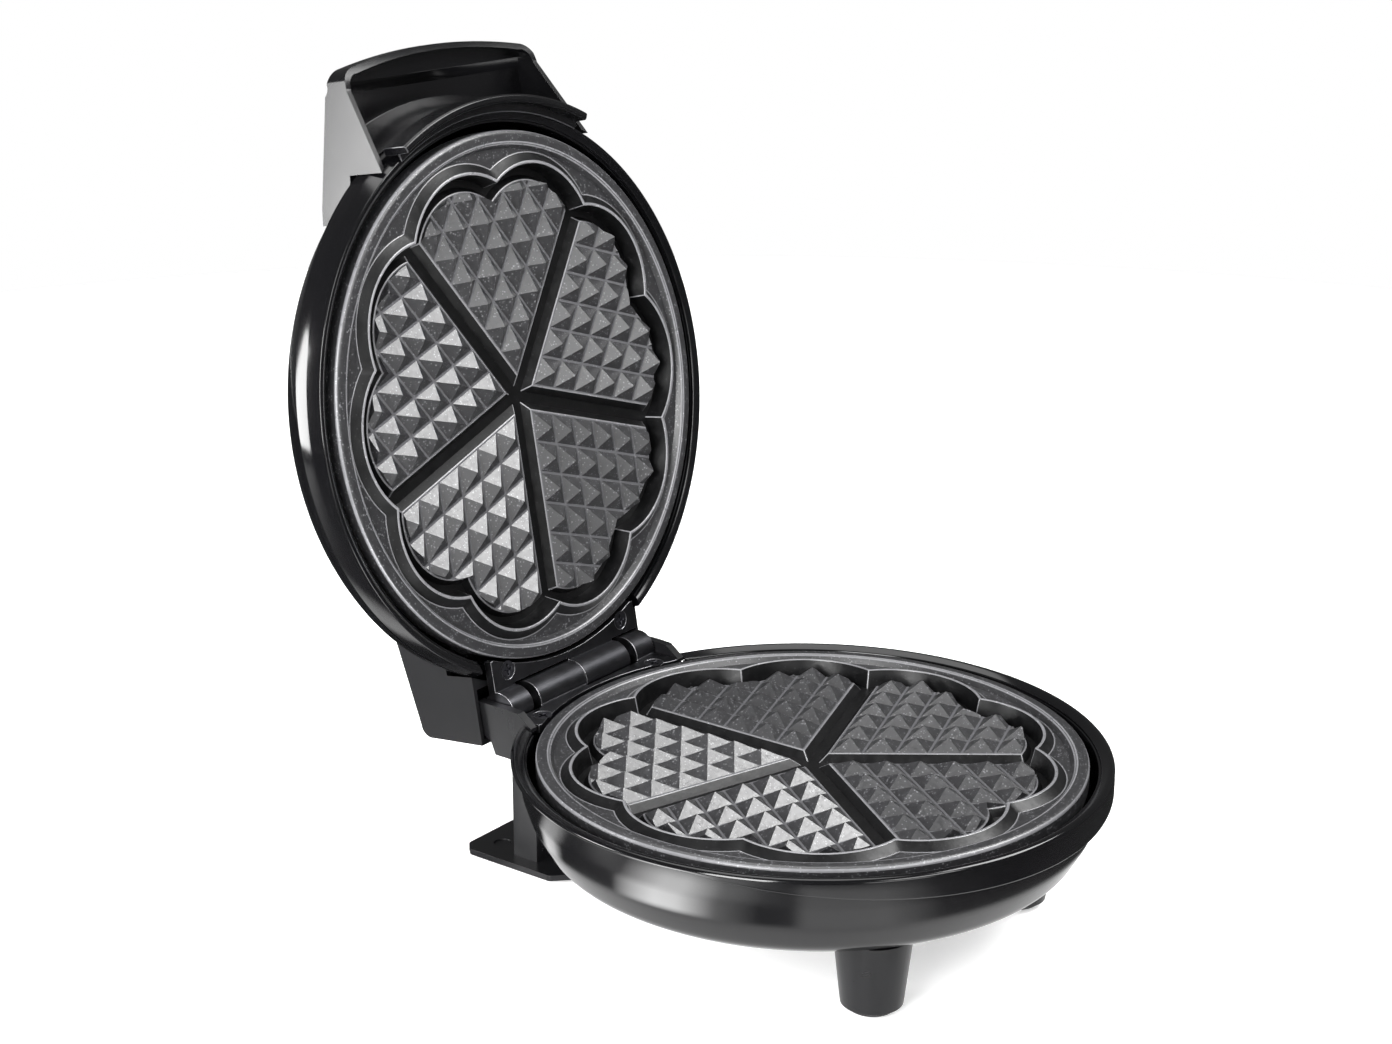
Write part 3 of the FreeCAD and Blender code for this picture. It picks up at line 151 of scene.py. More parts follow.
def nonstickFinish(name, look):
    # sprayed coat: dark ground, light mica specks in some of many small cells, orange peel and grit
    material, tree, shader, place = newFinish(name)
    cloud = addNode(tree, "ShaderNodeTexNoise", inputs={
        "Vector": place, "Scale": 1000 / look["cloudMm"], "Detail": 4.0})
    ground = addNode(tree, "ShaderNodeMix", {"data_type": "RGBA"}, {
        "Factor": cloud.outputs["Fac"], 6: hexColour(look["ground"]), 7: hexColour(look["groundTo"])})
    cells = addNode(tree, "ShaderNodeTexVoronoi", {"feature": "F1"}, {
        "Vector": place, "Scale": 1000 / look["speckMm"], "Randomness": 1.0})
    draw = addNode(tree, "ShaderNodeSeparateColor", inputs={"Color": cells.outputs["Color"]})
    reach = addNode(tree, "ShaderNodeMath", {"operation": "MULTIPLY"}, {
        0: draw.outputs["Red"], 1: look["speckSize"]})
    speck = addNode(tree, "ShaderNodeMapRange", inputs={
        "Value": cells.outputs["Distance"], "From Min": reach.outputs[0], "From Max": 0.0,
        "To Min": 0.0, "To Max": 1.0})
    chosen = addNode(tree, "ShaderNodeMath", {"operation": "GREATER_THAN"}, {
        0: draw.outputs["Green"], 1: 1 - look["speckShare"]})
    mask = addNode(tree, "ShaderNodeMath", {"operation": "MULTIPLY", "use_clamp": True}, {
        0: speck.outputs["Result"], 1: chosen.outputs[0]})
    colour = addNode(tree, "ShaderNodeMix", {"data_type": "RGBA"}, {
        "Factor": mask.outputs[0], 6: ground.outputs[2], 7: hexColour(look["speck"])})
    tree.links.new(colour.outputs[2], shader.inputs["Base Color"])
    peel = addNode(tree, "ShaderNodeTexNoise", inputs={
        "Vector": place, "Scale": 1000 / look["peelMm"], "Detail": 2.0})
    grit = addNode(tree, "ShaderNodeTexNoise", inputs={
        "Vector": place, "Scale": 1000 / look["gritMm"], "Detail": 3.0, "Roughness": 0.7})
    surfaceOf(tree, shader, look, cloud, peel, look["peelHeight"], grit, look["gritHeight"])
    return material


# PTFE non-stick sprayed on sand-blasted cast aluminium: charcoal, satin, fine light specks.
# Real specks are 0.1 to 0.4 mm; drawn in 0.8 mm cells so that they show.
nonstickCoat = nonstickFinish("sprayedNonstickCoat", {
    "ground": "#1b1b1d", "groundTo": "#343436", "speck": "#8a8a8e", "cloudMm": 1.4,
    "speckMm": 0.8, "speckSize": 0.6, "speckShare": 0.5, "rough": (0.28, 0.4), "ior": 1.9,
    "peelMm": 1.6, "peelHeight": 0.05, "gritMm": 0.6, "gritHeight": 0.05})
# the same coat painted paler and drawn smoother on the bevelled arrises: a painted highlight, so edges look
# as if they catch the light
nonstickEdge = nonstickFinish("nonstickEdgePaintedHighlight", {
    "ground": "#6d6d70", "groundTo": "#88888b", "speck": "#c8c8cc", "cloudMm": 4.0,
    "speckMm": 0.9, "speckSize": 0.5, "speckShare": 0.3, "rough": (0.26, 0.36), "ior": 1.9,
    "peelMm": 1.6, "peelHeight": 0.02, "gritMm": 0.55, "gritHeight": 0.01})
# painted shade: in the grooves and pockets the coat is drawn glossier and nearly black, for the shade that
# lies there
nonstickPaintedShade = nonstickFinish("nonstickGroovePaintedShade", {
    "ground": "#070708", "groundTo": "#0f0f10", "speck": "#2c2c2e", "cloudMm": 3.0,
    "speckMm": 0.9, "speckSize": 0.5, "speckShare": 0.25, "rough": (0.3, 0.42), "ior": 1.45,
    "peelMm": 1.6, "peelHeight": 0.04, "gritMm": 0.55, "gritHeight": 0.02})
# painted light: between the pyramids the coat is painted a mid grey, for the light the valleys catch
nonstickValley = nonstickFinish("nonstickValleyPaintedLight", {
    "ground": "#4e4e51", "groundTo": "#646467", "speck": "#8f8f93", "cloudMm": 2.0,
    "speckMm": 0.8, "speckSize": 0.5, "speckShare": 0.3, "rough": (0.34, 0.46), "ior": 1.7,
    "peelMm": 1.6, "peelHeight": 0.03, "gritMm": 0.55, "gritHeight": 0.02})

# phenolic resin pressed in a polished mould: deep black, wet gloss with a faint flow wave
phenolicGloss = mouldedFinish("pressedPhenolicGloss", {
    "shade": "#080809", "shadeTo": "#0e0e10", "cloudMm": 40, "smearMm": 26, "rough": (0.09, 0.15),
    "waveMm": 14, "waveHeight": 0.012, "grainMm": 0.9, "grainHeight": 0.0012, "ior": 1.55})
# glossy ABS-PBT blend of the handle, a little warmer and softer than the housings
handleGloss = mouldedFinish("mouldedHandleGloss", {
    "shade": "#0a0a0b", "shadeTo": "#111113", "cloudMm": 25, "smearMm": 20, "rough": (0.2, 0.28),
    "waveMm": 10, "waveHeight": 0.012, "grainMm": 0.8, "grainHeight": 0.0015, "ior": 1.52})
# the handle's rims and corner strips painted brighter: a painted highlight
handleRim = mouldedFinish("handleRimPaintedHighlight", {
    "shade": "#2e2e30", "shadeTo": "#3a3a3c", "cloudMm": 12, "smearMm": 10, "rough": (0.1, 0.16),
    "waveMm": 10, "waveHeight": 0.01, "grainMm": 0.8, "grainHeight": 0.001, "ior": 1.6})
# glass-filled polyamide from a spark-eroded mould: satin, faint even grain
polyamideSatin = mouldedFinish("sparkGrainPolyamide", {
    "shade": "#111112", "shadeTo": "#18181a", "cloudMm": 18, "smearMm": 12, "rough": (0.36, 0.46),
    "waveMm": 8, "waveHeight": 0.01, "grainMm": 0.6, "grainHeight": 0.008, "ior": 1.53, "shine": 0.22})
# the stand and feet: same resin, half gloss
polyamideHalfGloss = mouldedFinish("mouldedPolyamideHalfGloss", {
    "shade": "#121213", "shadeTo": "#1b1b1d", "cloudMm": 18, "smearMm": 14, "rough": (0.26, 0.36),
    "waveMm": 8, "waveHeight": 0.01, "grainMm": 0.6, "grainHeight": 0.005, "ior": 1.53, "shine": 0.34})

# pressure die-cast zinc, black chromated and tumbled: dark satin metal with pale rubbed spots
chromatedZinc = mouldedFinish("blackChromatedZinc", {
    "shade": "#3c3c3f", "shadeTo": "#57575a", "cloudMm": 7, "smearMm": 5, "rough": (0.3, 0.42),
    "waveMm": 5, "waveHeight": 0.02, "grainMm": 0.5, "grainHeight": 0.008, "metallic": 1.0})
rubbedZinc = mouldedFinish("rubbedZincEdge", {
    "shade": "#8a8a8d", "shadeTo": "#a2a2a5", "cloudMm": 4, "smearMm": 4, "rough": (0.24, 0.34),
    "waveMm": 5, "waveHeight": 0.01, "grainMm": 0.5, "grainHeight": 0.004, "metallic": 1.0})
# carbon steel blackened in a hot oxide bath: blue-black, oily sheen
blackOxideSteel = mouldedFinish("blackOxideSteel", {
    "shade": "#4c4c51", "shadeTo": "#6c6c72", "cloudMm": 3, "smearMm": 2, "rough": (0.26, 0.38),
    "waveMm": 3, "waveHeight": 0.01, "grainMm": 0.4, "grainHeight": 0.004, "metallic": 1.0})
# drawn steel with bright zinc plating
zincPlatedSteel = mouldedFinish("brightZincPlatedSteel", {
    "shade": "#a8a9ac", "shadeTo": "#c2c3c6", "cloudMm": 4, "smearMm": 3, "rough": (0.2, 0.32),
    "waveMm": 4, "waveHeight": 0.01, "grainMm": 0.4, "grainHeight": 0.004, "metallic": 1.0})
# annealed steel sheath of the heating tube: straw to brown heat tint
annealedSheath = mouldedFinish("annealedSteelSheath", {
    "shade": "#5d5750", "shadeTo": "#7d746a", "cloudMm": 12, "smearMm": 5, "rough": (0.38, 0.52),
    "waveMm": 4, "waveHeight": 0.02, "grainMm": 0.4, "grainHeight": 0.01, "metallic": 1.0})
# hot-dip aluminised sheet, rolled: bright with soft spangle
aluminisedSheet = mouldedFinish("aluminisedSheet", {
    "shade": "#b9bbbe", "shadeTo": "#d4d5d8", "cloudMm": 7, "smearMm": 6, "rough": (0.22, 0.36),
    "waveMm": 9, "waveHeight": 0.03, "grainMm": 0.8, "grainHeight": 0.006, "metallic": 1.0})

# moulded EPDM rubber: dull charcoal, talc bloom
mouldedRubber = mouldedFinish("mouldedRubber", {
    "shade": "#161617", "shadeTo": "#232324", "cloudMm": 5, "smearMm": 4, "rough": (0.68, 0.82),
    "waveMm": 3, "waveHeight": 0.02, "grainMm": 0.5, "grainHeight": 0.02, "ior": 1.5})
# pressed and fired steatite ceramic: warm off-white, eggshell
firedSteatite = mouldedFinish("firedSteatite", {
    "shade": "#e2ddd0", "shadeTo": "#efebe0", "cloudMm": 6, "smearMm": 5, "rough": (0.42, 0.56),
    "waveMm": 4, "waveHeight": 0.02, "grainMm": 0.5, "grainHeight": 0.01, "ior": 1.6})
# braided glass sleeve, drawn as a fine nap
braidedGlassSleeve = mouldedFinish("braidedGlassSleeve", {
    "shade": "#cfcabd", "shadeTo": "#e6e2d8", "cloudMm": 1.2, "smearMm": 1.0, "rough": (0.7, 0.85),
    "waveMm": 1.2, "waveHeight": 0.08, "grainMm": 0.5, "grainHeight": 0.04, "ior": 1.5})
# clear tinted polycarbonate lamp lenses, moulded with a light diffusing grain inside
redLens = mouldedFinish("redPolycarbonateLens", {
    "shade": "#8e0f10", "shadeTo": "#b01a18", "cloudMm": 3, "smearMm": 4, "rough": (0.08, 0.14),
    "waveMm": 3, "waveHeight": 0.01, "grainMm": 0.6, "grainHeight": 0.002, "ior": 1.585, "clear": 0.35})
greenLens = mouldedFinish("greenPolycarbonateLens", {
    "shade": "#0f6a2a", "shadeTo": "#1c8a3a", "cloudMm": 3, "smearMm": 4, "rough": (0.08, 0.14),
    "waveMm": 3, "waveHeight": 0.01, "grainMm": 0.6, "grainHeight": 0.002, "ior": 1.585, "clear": 0.35})
print("materials made")


# mesh helpers
def meshFrom(name, bm):
    mesh = bpy.data.meshes.new(name)
    bm.to_mesh(mesh)
    bm.free()
    return mesh


def placeObject(name, mesh, materials=()):
    for material in materials:
        mesh.materials.append(material)
    made = bpy.data.objects.new(name, mesh)
    scene.collection.objects.link(made)
    return made


def newPiece(name, bm, space, materials, smoothDeg=40):
    # a finished piece: mesh moved to its place, object at the origin
    bmesh.ops.remove_doubles(bm, verts=bm.verts, dist=0.002)
    bmesh.ops.recalc_face_normals(bm, faces=bm.faces)
    mesh = meshFrom(name, bm)
    mesh.transform(space)
    mesh.shade_smooth()
    mesh.set_sharp_from_angle(angle=math.radians(smoothDeg))
    return placeObject(name, mesh, materials)


def bakeModifiers(piece, smoothDeg=35):
    # turns the evaluated object into plain mesh data
    graph = bpy.context.evaluated_depsgraph_get()
    mesh = bpy.data.meshes.new_from_object(piece.evaluated_get(graph), preserve_all_data_layers=True,
                                           depsgraph=graph)
    piece.modifiers.clear()
    old = piece.data
    piece.data = mesh
    bpy.data.meshes.remove(old)
    piece.data.name = piece.name
    if smoothDeg:
        piece.data.set_sharp_from_angle(angle=math.radians(smoothDeg))
    return piece


def softEdges(piece, width, angle=28, edgeSlot=None, faceted=False):
    # small moulded radii in millimetres, on outward corners sharper than the angle
    bm = bmesh.new()
    bm.from_mesh(piece.data)
    weight = bm.edges.layers.float.new("bevel_weight_edge")
    for edge in bm.edges:
        if len(edge.link_faces) == 2 and edge.is_convex and edge.calc_face_angle() > math.radians(angle):
            edge[weight] = 1.0
    bm.to_mesh(piece.data)
    bm.free()
    bevel = piece.modifiers.new("edges", "BEVEL")
    bevel.width = width * mm
    bevel.segments = 2
    bevel.limit_method = "WEIGHT"
    if edgeSlot is not None:
        bevel.material = edgeSlot
    bakeModifiers(piece, 50)
    if faceted:
        # every face plainly flat, and no stored normals left over from a boolean
        stored = piece.data.attributes.get("custom_normal")
        if stored:
            piece.data.attributes.remove(stored)
        piece.data.shade_flat()
        return piece
    # large flat faces keep their own normals, so that only the corner strips look round
    weighted = piece.modifiers.new("flatFaces", "WEIGHTED_NORMAL")
    weighted.keep_sharp = True
    weighted.mode = "FACE_AREA"
    weighted.weight = 90
    return bakeModifiers(piece, 0)


def roundedCopy(name, node, width, materials, edgeSlot=None):
    # a CAD node's shape with its corners rounded
    bm = bmesh.new()
    bm.from_mesh(frame["nodes"][node].data)
    bmesh.ops.remove_doubles(bm, verts=bm.verts, dist=0.00001)
    bmesh.ops.dissolve_limit(bm, angle_limit=math.radians(0.8), verts=bm.verts, edges=bm.edges,
                             delimit={"NORMAL"})
    mesh = meshFrom(name, bm)
    mesh.materials.clear()
    mesh.shade_smooth()
    mesh.set_sharp_from_angle(angle=math.radians(40))
    return softEdges(placeObject(name, mesh, materials), width, edgeSlot=edgeSlot)


def roundCorners(points, steps=3):
    # (r, z, radius) corners of a closed outline to points, each corner a short arc
    out = []
    count = len(points)
    for i, (r, z, radius) in enumerate(points):
        here = Vector((r, z))
        before = Vector(points[i - 1][:2]) - here
        after = Vector(points[(i + 1) % count][:2]) - here
        if radius <= 0 or before.length < 1e-6 or after.length < 1e-6:
            out.append((r, z))
            continue
        reach = min(radius, before.length * 0.45, after.length * 0.45)
        start = here + before.normalized() * reach
        end = here + after.normalized() * reach
        for k in range(steps + 1):
            t = k / steps
            spot = start * (1 - t) ** 2 + here * 2 * t * (1 - t) + end * t ** 2
            out.append((spot.x, spot.y))
    return out


def turnRings(outlineAt, steps, start=0.0, sweep=360.0):
    # bmesh turned about Z; outlineAt gives the closed (r, z) outline for an angle in radians
    bm = bmesh.new()
    full = abs(sweep - 360) < 1e-6
    rings = []
    for i in range(steps if full else steps + 1):
        angle = math.radians(start + sweep * i / steps)
        outline = outlineAt(angle)
        rings.append([bm.verts.new((r * math.cos(angle), r * math.sin(angle), z)) for r, z in outline])
    count = len(rings[0])
    for i in range(steps):
        here, there = rings[i], rings[(i + 1) % len(rings)]
        for j in range(count):
            k = (j + 1) % count
            corners = [here[j], there[j], there[k], here[k]]
            if any(v.co.xy.length > 1e-6 for v in corners):      # none between points on the axis
                bm.faces.new(corners)
    if not full:
        bm.faces.new(rings[0])
        bm.faces.new(list(reversed(rings[-1])))
    return bm


def cutAway(piece, boxes, rods, space):
    # cuts boxes ((low), (high)) and upright rods (x, y, radius, low, high) out of a piece
    bm = bmesh.new()
    for low, high in boxes:
        middle = (Vector(low) + Vector(high)) / 2
        size = Vector(high) - Vector(low)
        made = bmesh.ops.create_cube(bm, size=1.0)
        bmesh.ops.scale(bm, vec=size, verts=made["verts"])
        bmesh.ops.translate(bm, vec=middle, verts=made["verts"])
    for x, y, radius, low, high in rods:
        made = bmesh.ops.create_cone(bm, cap_ends=True, segments=40, radius1=radius, radius2=radius,
                                     depth=high - low)
        bmesh.ops.translate(bm, vec=(x, y, (low + high) / 2), verts=made["verts"])
    mesh = meshFrom("cutter", bm)
    mesh.transform(space)
    tool = placeObject("cutter", mesh)
    boolean = piece.modifiers.new("openings", "BOOLEAN")
    boolean.operation = "DIFFERENCE"
    boolean.solver = "EXACT"
    boolean.object = tool
    bakeModifiers(piece)
    bpy.data.objects.remove(tool)


# baking plates: millimetres from the plates' axis, and from the plane of their rims
plate = {
    # turned edge from the underside over the rim and down into the channel: radius, height
    "edge": ((92.5, -10.4), (95.0, -8.0), (97.5, -8.0), (98.0, -7.5), (98.0, -1.2), (97.72, -0.62),
             (97.0, -0.18), (96.2, 0), (93.6, 0), (92.8, -0.4), (91.4, -2.5)),
    "corner": 84.0, "peak": 90.8,                      # scallops: where two meet, and their tops
    "footLine": 0.45, "ridgeRun": 3.2, "ridgeWide": 0.8, "pocketRun": 5.4, "pocketDeep": 6.9,
    "fieldFoot": 7.8, "fieldRun": 9.8, "fieldDeep": 4.2, "fieldSunk": 0.3, "spokeFoot": 1.7, "spokeHalf": 4.5,
    "arris": 0.32, "scallopSteps": 20, "heartSteps": 24, "sideSteps": 10,
}
lobeHalf = math.radians(18)
lobeChord = plate["corner"] * math.sin(lobeHalf)
lobeRise = plate["peak"] - plate["corner"] * math.cos(lobeHalf)
lobeRadius = (lobeChord ** 2 + lobeRise ** 2) / (2 * lobeRise)
lobeCentre = plate["peak"] - lobeRadius


def scallopRing(inset, level):
    # ten lobes round the five hearts, moved inwards by an inset
    radius = lobeRadius - inset
    meet = lobeCentre * math.cos(lobeHalf) + math.sqrt(radius ** 2 - (lobeCentre * math.sin(lobeHalf)) ** 2)
    spots = []
    for lobe in range(10):
        middle = math.radians(36 * lobe + 18)
        centre = Vector((math.sin(middle), -math.cos(middle))) * lobeCentre
        ends = []
        for bearing in (middle - lobeHalf, middle + lobeHalf):
            edge = Vector((math.sin(bearing), -math.cos(bearing))) * meet - centre
            ends.append(math.atan2(edge.y, edge.x))
        first, last = ends
        if last < first:
            last += math.tau
        for k in range(plate["scallopSteps"]):
            angle = first + (last - first) * k / plate["scallopSteps"]
            spots.append(Vector((centre.x + radius * math.cos(angle),
                                 centre.y + radius * math.sin(angle), level)))
    return spots


def circleRing(radius, level):
    # a circle with its points at the same bearings as the scallops' points
    return [Vector((p.x, p.y, 0)).normalized() * radius + Vector((0, 0, level)) for p in scallopRing(0, 0)]


def heartRing(run, spoke, level, turn):
    # outline of one heart inside the scallops
    radius = lobeRadius - run
    centre = Vector((lobeCentre * math.sin(lobeHalf), lobeCentre * math.cos(lobeHalf)))
    tip = Vector((0, spoke / math.sin(2 * lobeHalf)))
    notch = Vector((0, centre.y + math.sqrt(radius ** 2 - centre.x ** 2)))
    side = Vector((math.sin(2 * lobeHalf), math.cos(2 * lobeHalf)))
    back = tip - centre
    along = -back.dot(side)
    joint = tip + side * (along + math.sqrt(along ** 2 - back.dot(back) + radius ** 2))
    first = math.atan2(joint.y - centre.y, joint.x - centre.x)
    last = math.atan2(notch.y - centre.y, notch.x - centre.x)
    right = [tip + (joint - tip) * k / plate["sideSteps"] for k in range(plate["sideSteps"])]
    for k in range(plate["heartSteps"] + 1):
        angle = first + (last - first) * k / plate["heartSteps"]
        right.append(centre + Vector((math.cos(angle), math.sin(angle))) * radius)
    left = [Vector((-p.x, p.y)) for p in reversed(right[1:-1])]
    spin = Matrix.Rotation(math.radians(turn), 3, "Z")
    return [spin @ Vector((p.x, -p.y, level)) for p in right + left]


def skinRings(bm, rings, capFirst=False, capLast=False, slots=None, capSlot=0):
    # quads between rings with the same number of points; slots gives each band its finish
    made = [[bm.verts.new(p) for p in ring] for ring in rings]
    count = len(made[0])
    for band, (here, there) in enumerate(zip(made, made[1:])):
        for j in range(count):
            k = (j + 1) % count
            face = bm.faces.new((here[j], here[k], there[k], there[j]))
            face.material_index = slots[band] if slots else 0
    if capFirst:
        bm.faces.new(made[0])
    if capLast:
        bm.faces.new(made[-1]).material_index = capSlot


def plateCasting(name, space):
    level = plate["edge"][-1][1]
    floor = -plate["pocketDeep"]
    rings = [circleRing(r, z) for r, z in plate["edge"]]
    rings += [scallopRing(-plate["footLine"], level), scallopRing(0, level),
              scallopRing(plate["ridgeRun"], ridgeTop),
              scallopRing(plate["ridgeRun"] + plate["ridgeWide"], ridgeTop),
              scallopRing(plate["pocketRun"], floor)]
    # coat on the rim and the flat, a painted highlight line at the ridge's foot and on its top, painted shade
    # on the walls and in the grooves
    bands = [0] * len(plate["edge"]) + [1, 2, 1, 2]
    bm = bmesh.new()
    skinRings(bm, rings, capFirst=True, capLast=True, slots=bands, capSlot=2)
    # each heart's walls take the painted shade, and its top between the pyramids the painted light
    for turn in range(0, 360, 72):
        skinRings(bm, [heartRing(plate["fieldFoot"], plate["spokeFoot"], floor - plate["fieldSunk"], turn),
                       heartRing(plate["fieldRun"], plate["spokeHalf"], -plate["fieldDeep"], turn)],
                  capFirst=True, capLast=True, slots=[2], capSlot=3)
    casting = newPiece(name, bm, space, [nonstickCoat, nonstickEdge, nonstickPaintedShade, nonstickValley], 30)
    # the bevels on the arrises take the paler edge colour, a painted highlight
    return softEdges(casting, plate["arris"], angle=24, edgeSlot=1)


def openTree(name, result, inputs):
    # a Geometry Nodes tree with named inputs: the tree, its input sockets, and the values they give
    tree = bpy.data.node_groups.new(name, "GeometryNodeTree")
    sockets = {label: tree.interface.new_socket(label, in_out="INPUT", socket_type="NodeSocket" + kind)
               for label, kind in inputs.items()}
    tree.interface.new_socket(result, in_out="OUTPUT", socket_type="NodeSocketGeometry")
    return tree, sockets, addNode(tree, "NodeGroupInput").outputs


def closeTree(tree, instances, finish):
    # the instances made real and given their finish
    real = addNode(tree, "GeometryNodeRealizeInstances", inputs={"Geometry": instances})
    done = addNode(tree, "GeometryNodeSetMaterial", inputs={
        "Geometry": real.outputs["Geometry"], "Material": finish})
    addNode(tree, "NodeGroupOutput", inputs={0: done.outputs["Geometry"]})


def growTree(piece, tree, sockets, values, smoothDeg):
    # runs a tree on a piece and keeps the mesh
    grown = piece.modifiers.new(tree.name, "NODES")
    grown.node_group = tree
    for label, value in values.items():
        grown[sockets[label].identifier] = value
    bakeModifiers(piece, smoothDeg)


# one field of pyramids on a rhombic grid, cut off at a fence a little inside its heart
pyramids = {"rows": 7, "pitch": 11.8, "valley": 0.9, "high": 3.7, "sunk": 0.02, "startBack": 0.6, "hearts": 5,
            "fenceRun": 0.5, "fenceSpoke": 0.4, "fenceSunk": 0.15, "fenceTop": 3.0, "arris": 0.34}


def pyramidTree():
    # rows of four-sided pyramids, kept inside the fence, repeated round the middle
    tree, sockets, given = openTree("pyramidField", "Pyramids", {
        "Fence": "Geometry", "Rows": "Int", "Pitch": "Float", "Valley": "Float", "Height": "Float",
        "Level": "Float", "Start": "Float", "Hearts": "Int", "Finish": "Material"})
    across, along = math.sin(2 * lobeHalf), math.cos(2 * lobeHalf)
    # one pyramid: a cone with four sides, stretched to the rhombus
    base = addNode(tree, "ShaderNodeMath", {"operation": "SUBTRACT"}, {0: given["Pitch"], 1: given["Valley"]})
    cone = addNode(tree, "GeometryNodeMeshCone", inputs={
        "Vertices": 4, "Radius Top": 0.0, "Radius Bottom": 1.0, "Depth": given["Height"]})
    wide = addNode(tree, "ShaderNodeMath", {"operation": "MULTIPLY"}, {0: base.outputs[0], 1: across})
    deep = addNode(tree, "ShaderNodeMath", {"operation": "MULTIPLY"}, {0: base.outputs[0], 1: along})
    stretch = addNode(tree, "ShaderNodeCombineXYZ", inputs={0: wide.outputs[0], 1: deep.outputs[0], 2: 1.0})
    pyramid = addNode(tree, "GeometryNodeTransform", inputs={
        "Geometry": cone.outputs["Mesh"], "Scale": stretch.outputs[0]})
    # the grid: square, turned by 45 degrees, then stretched by the same rhombus
    last = addNode(tree, "ShaderNodeMath", {"operation": "SUBTRACT"}, {0: given["Rows"], 1: 1.0})
    grid = addNode(tree, "GeometryNodeMeshGrid", inputs={
        "Size X": last.outputs[0], "Size Y": last.outputs[0], "Vertices X": given["Rows"],
        "Vertices Y": given["Rows"]})
    turned = addNode(tree, "GeometryNodeTransform", inputs={
        "Geometry": grid.outputs["Mesh"], "Rotation": (0.0, 0.0, math.radians(45))})
    stepX = addNode(tree, "ShaderNodeMath", {"operation": "MULTIPLY"}, {
        0: given["Pitch"], 1: across * math.sqrt(2)})
    stepY = addNode(tree, "ShaderNodeMath", {"operation": "MULTIPLY"}, {
        0: given["Pitch"], 1: along * math.sqrt(2)})
    spread = addNode(tree, "ShaderNodeCombineXYZ", inputs={0: stepX.outputs[0], 1: stepY.outputs[0], 2: 1.0})
    half = addNode(tree, "ShaderNodeMath", {"operation": "MULTIPLY"}, {0: given["Rows"], 1: given["Pitch"]})
    middle = addNode(tree, "ShaderNodeMath", {"operation": "MULTIPLY_ADD"}, {
        0: half.outputs[0], 1: -along, 2: given["Start"]})
    shift = addNode(tree, "ShaderNodeCombineXYZ", inputs={1: middle.outputs[0], 2: given["Level"]})
    lattice = addNode(tree, "GeometryNodeTransform", inputs={
        "Geometry": turned.outputs["Geometry"], "Scale": spread.outputs[0], "Translation": shift.outputs[0]})
    studs = addNode(tree, "GeometryNodeInstanceOnPoints", inputs={
        "Points": lattice.outputs["Geometry"], "Instance": pyramid.outputs["Geometry"]})
    solid = addNode(tree, "GeometryNodeRealizeInstances", inputs={"Geometry": studs.outputs["Instances"]})
    kept = addNode(tree, "GeometryNodeMeshBoolean", {"operation": "INTERSECT", "solver": "EXACT"})
    tree.links.new(solid.outputs["Geometry"], kept.inputs["Mesh 2"])
    tree.links.new(given["Fence"], kept.inputs["Mesh 2"])
    # one field for each heart, all from one spot, each turned to its own bearing
    spots = addNode(tree, "GeometryNodeMeshLine", inputs={
        "Count": given["Hearts"], "Offset": (0.0, 0.0, 0.0)})
    index = addNode(tree, "GeometryNodeInputIndex")
    share = addNode(tree, "ShaderNodeMath", {"operation": "DIVIDE"}, {0: math.tau, 1: given["Hearts"]})
    bearing = addNode(tree, "ShaderNodeMath", {"operation": "MULTIPLY"}, {
        0: index.outputs[0], 1: share.outputs[0]})
    spin = addNode(tree, "ShaderNodeCombineXYZ", inputs={2: bearing.outputs[0]})
    hearts = addNode(tree, "GeometryNodeInstanceOnPoints", inputs={
        "Points": spots.outputs["Mesh"], "Instance": kept.outputs["Mesh"], "Rotation": spin.outputs[0]})
    closeTree(tree, hearts.outputs["Instances"], given["Finish"])
    return tree, sockets


pyramidField, pyramidSockets = pyramidTree()


def platePyramids(name, space):
    fence = bmesh.new()
    run, spoke = plate["fieldRun"] + pyramids["fenceRun"], plate["spokeHalf"] + pyramids["fenceSpoke"]
    skinRings(fence, [heartRing(run, spoke, -plate["fieldDeep"] - pyramids["fenceSunk"], 0),
                      heartRing(run, spoke, pyramids["fenceTop"], 0)], capFirst=True, capLast=True)
    piece = newPiece(name, fence, Matrix.Identity(4), [])
    growTree(piece, pyramidField, pyramidSockets, {
        "Rows": pyramids["rows"], "Pitch": pyramids["pitch"], "Valley": pyramids["valley"],
        "Height": pyramids["high"], "Level": -plate["fieldDeep"] - pyramids["sunk"],
        "Start": -plate["spokeHalf"] / math.sin(2 * lobeHalf) - pyramids["startBack"],
        "Hearts": pyramids["hearts"], "Finish": nonstickCoat}, 0)
    piece.data.transform(space)
    # the pyramids' bevelled arrises take the paler edge colour, a painted highlight
    piece.data.materials.append(nonstickEdge)
    return softEdges(piece, pyramids["arris"], angle=20, edgeSlot=1, faceted=True)


lowerCasting = plateCasting("lowerPlateCasting", baseSpace)
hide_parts("lower_baking_plate")
lowerPyramids = platePyramids("lowerPlatePyramids", baseSpace)
upperCasting = plateCasting("upperPlateCasting", lidTwinSpace)
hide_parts("upper_baking_plate")
upperPyramids = platePyramids("upperPlatePyramids", lidTwinSpace)
for piece, body in ((lowerCasting, "base"), (lowerPyramids, "base"),
                    (upperCasting, "lid"), (upperPyramids, "lid")):
    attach(piece, body)
print("baking plates made")


# housings: millimetres from the plates' axis, and from the plane of the lower plate's rim
turnSteps = 180
ringWide = 106.8                                       # outside radius of both flange rings
notch = {"half": 46.5, "front": 88.5, "back": 118.5}   # what every housing leaves free for the hinge leaves


def hingeGap(low, high):
    return (-notch["half"], notch["front"], low), (notch["half"], notch["back"], high)


# base ring: its skirt is level at the back, and grows towards the front
baseFlange = {"shallow": 2.15, "levelTo": -24, "growth": 0.105, "gap": (-25, 1)}


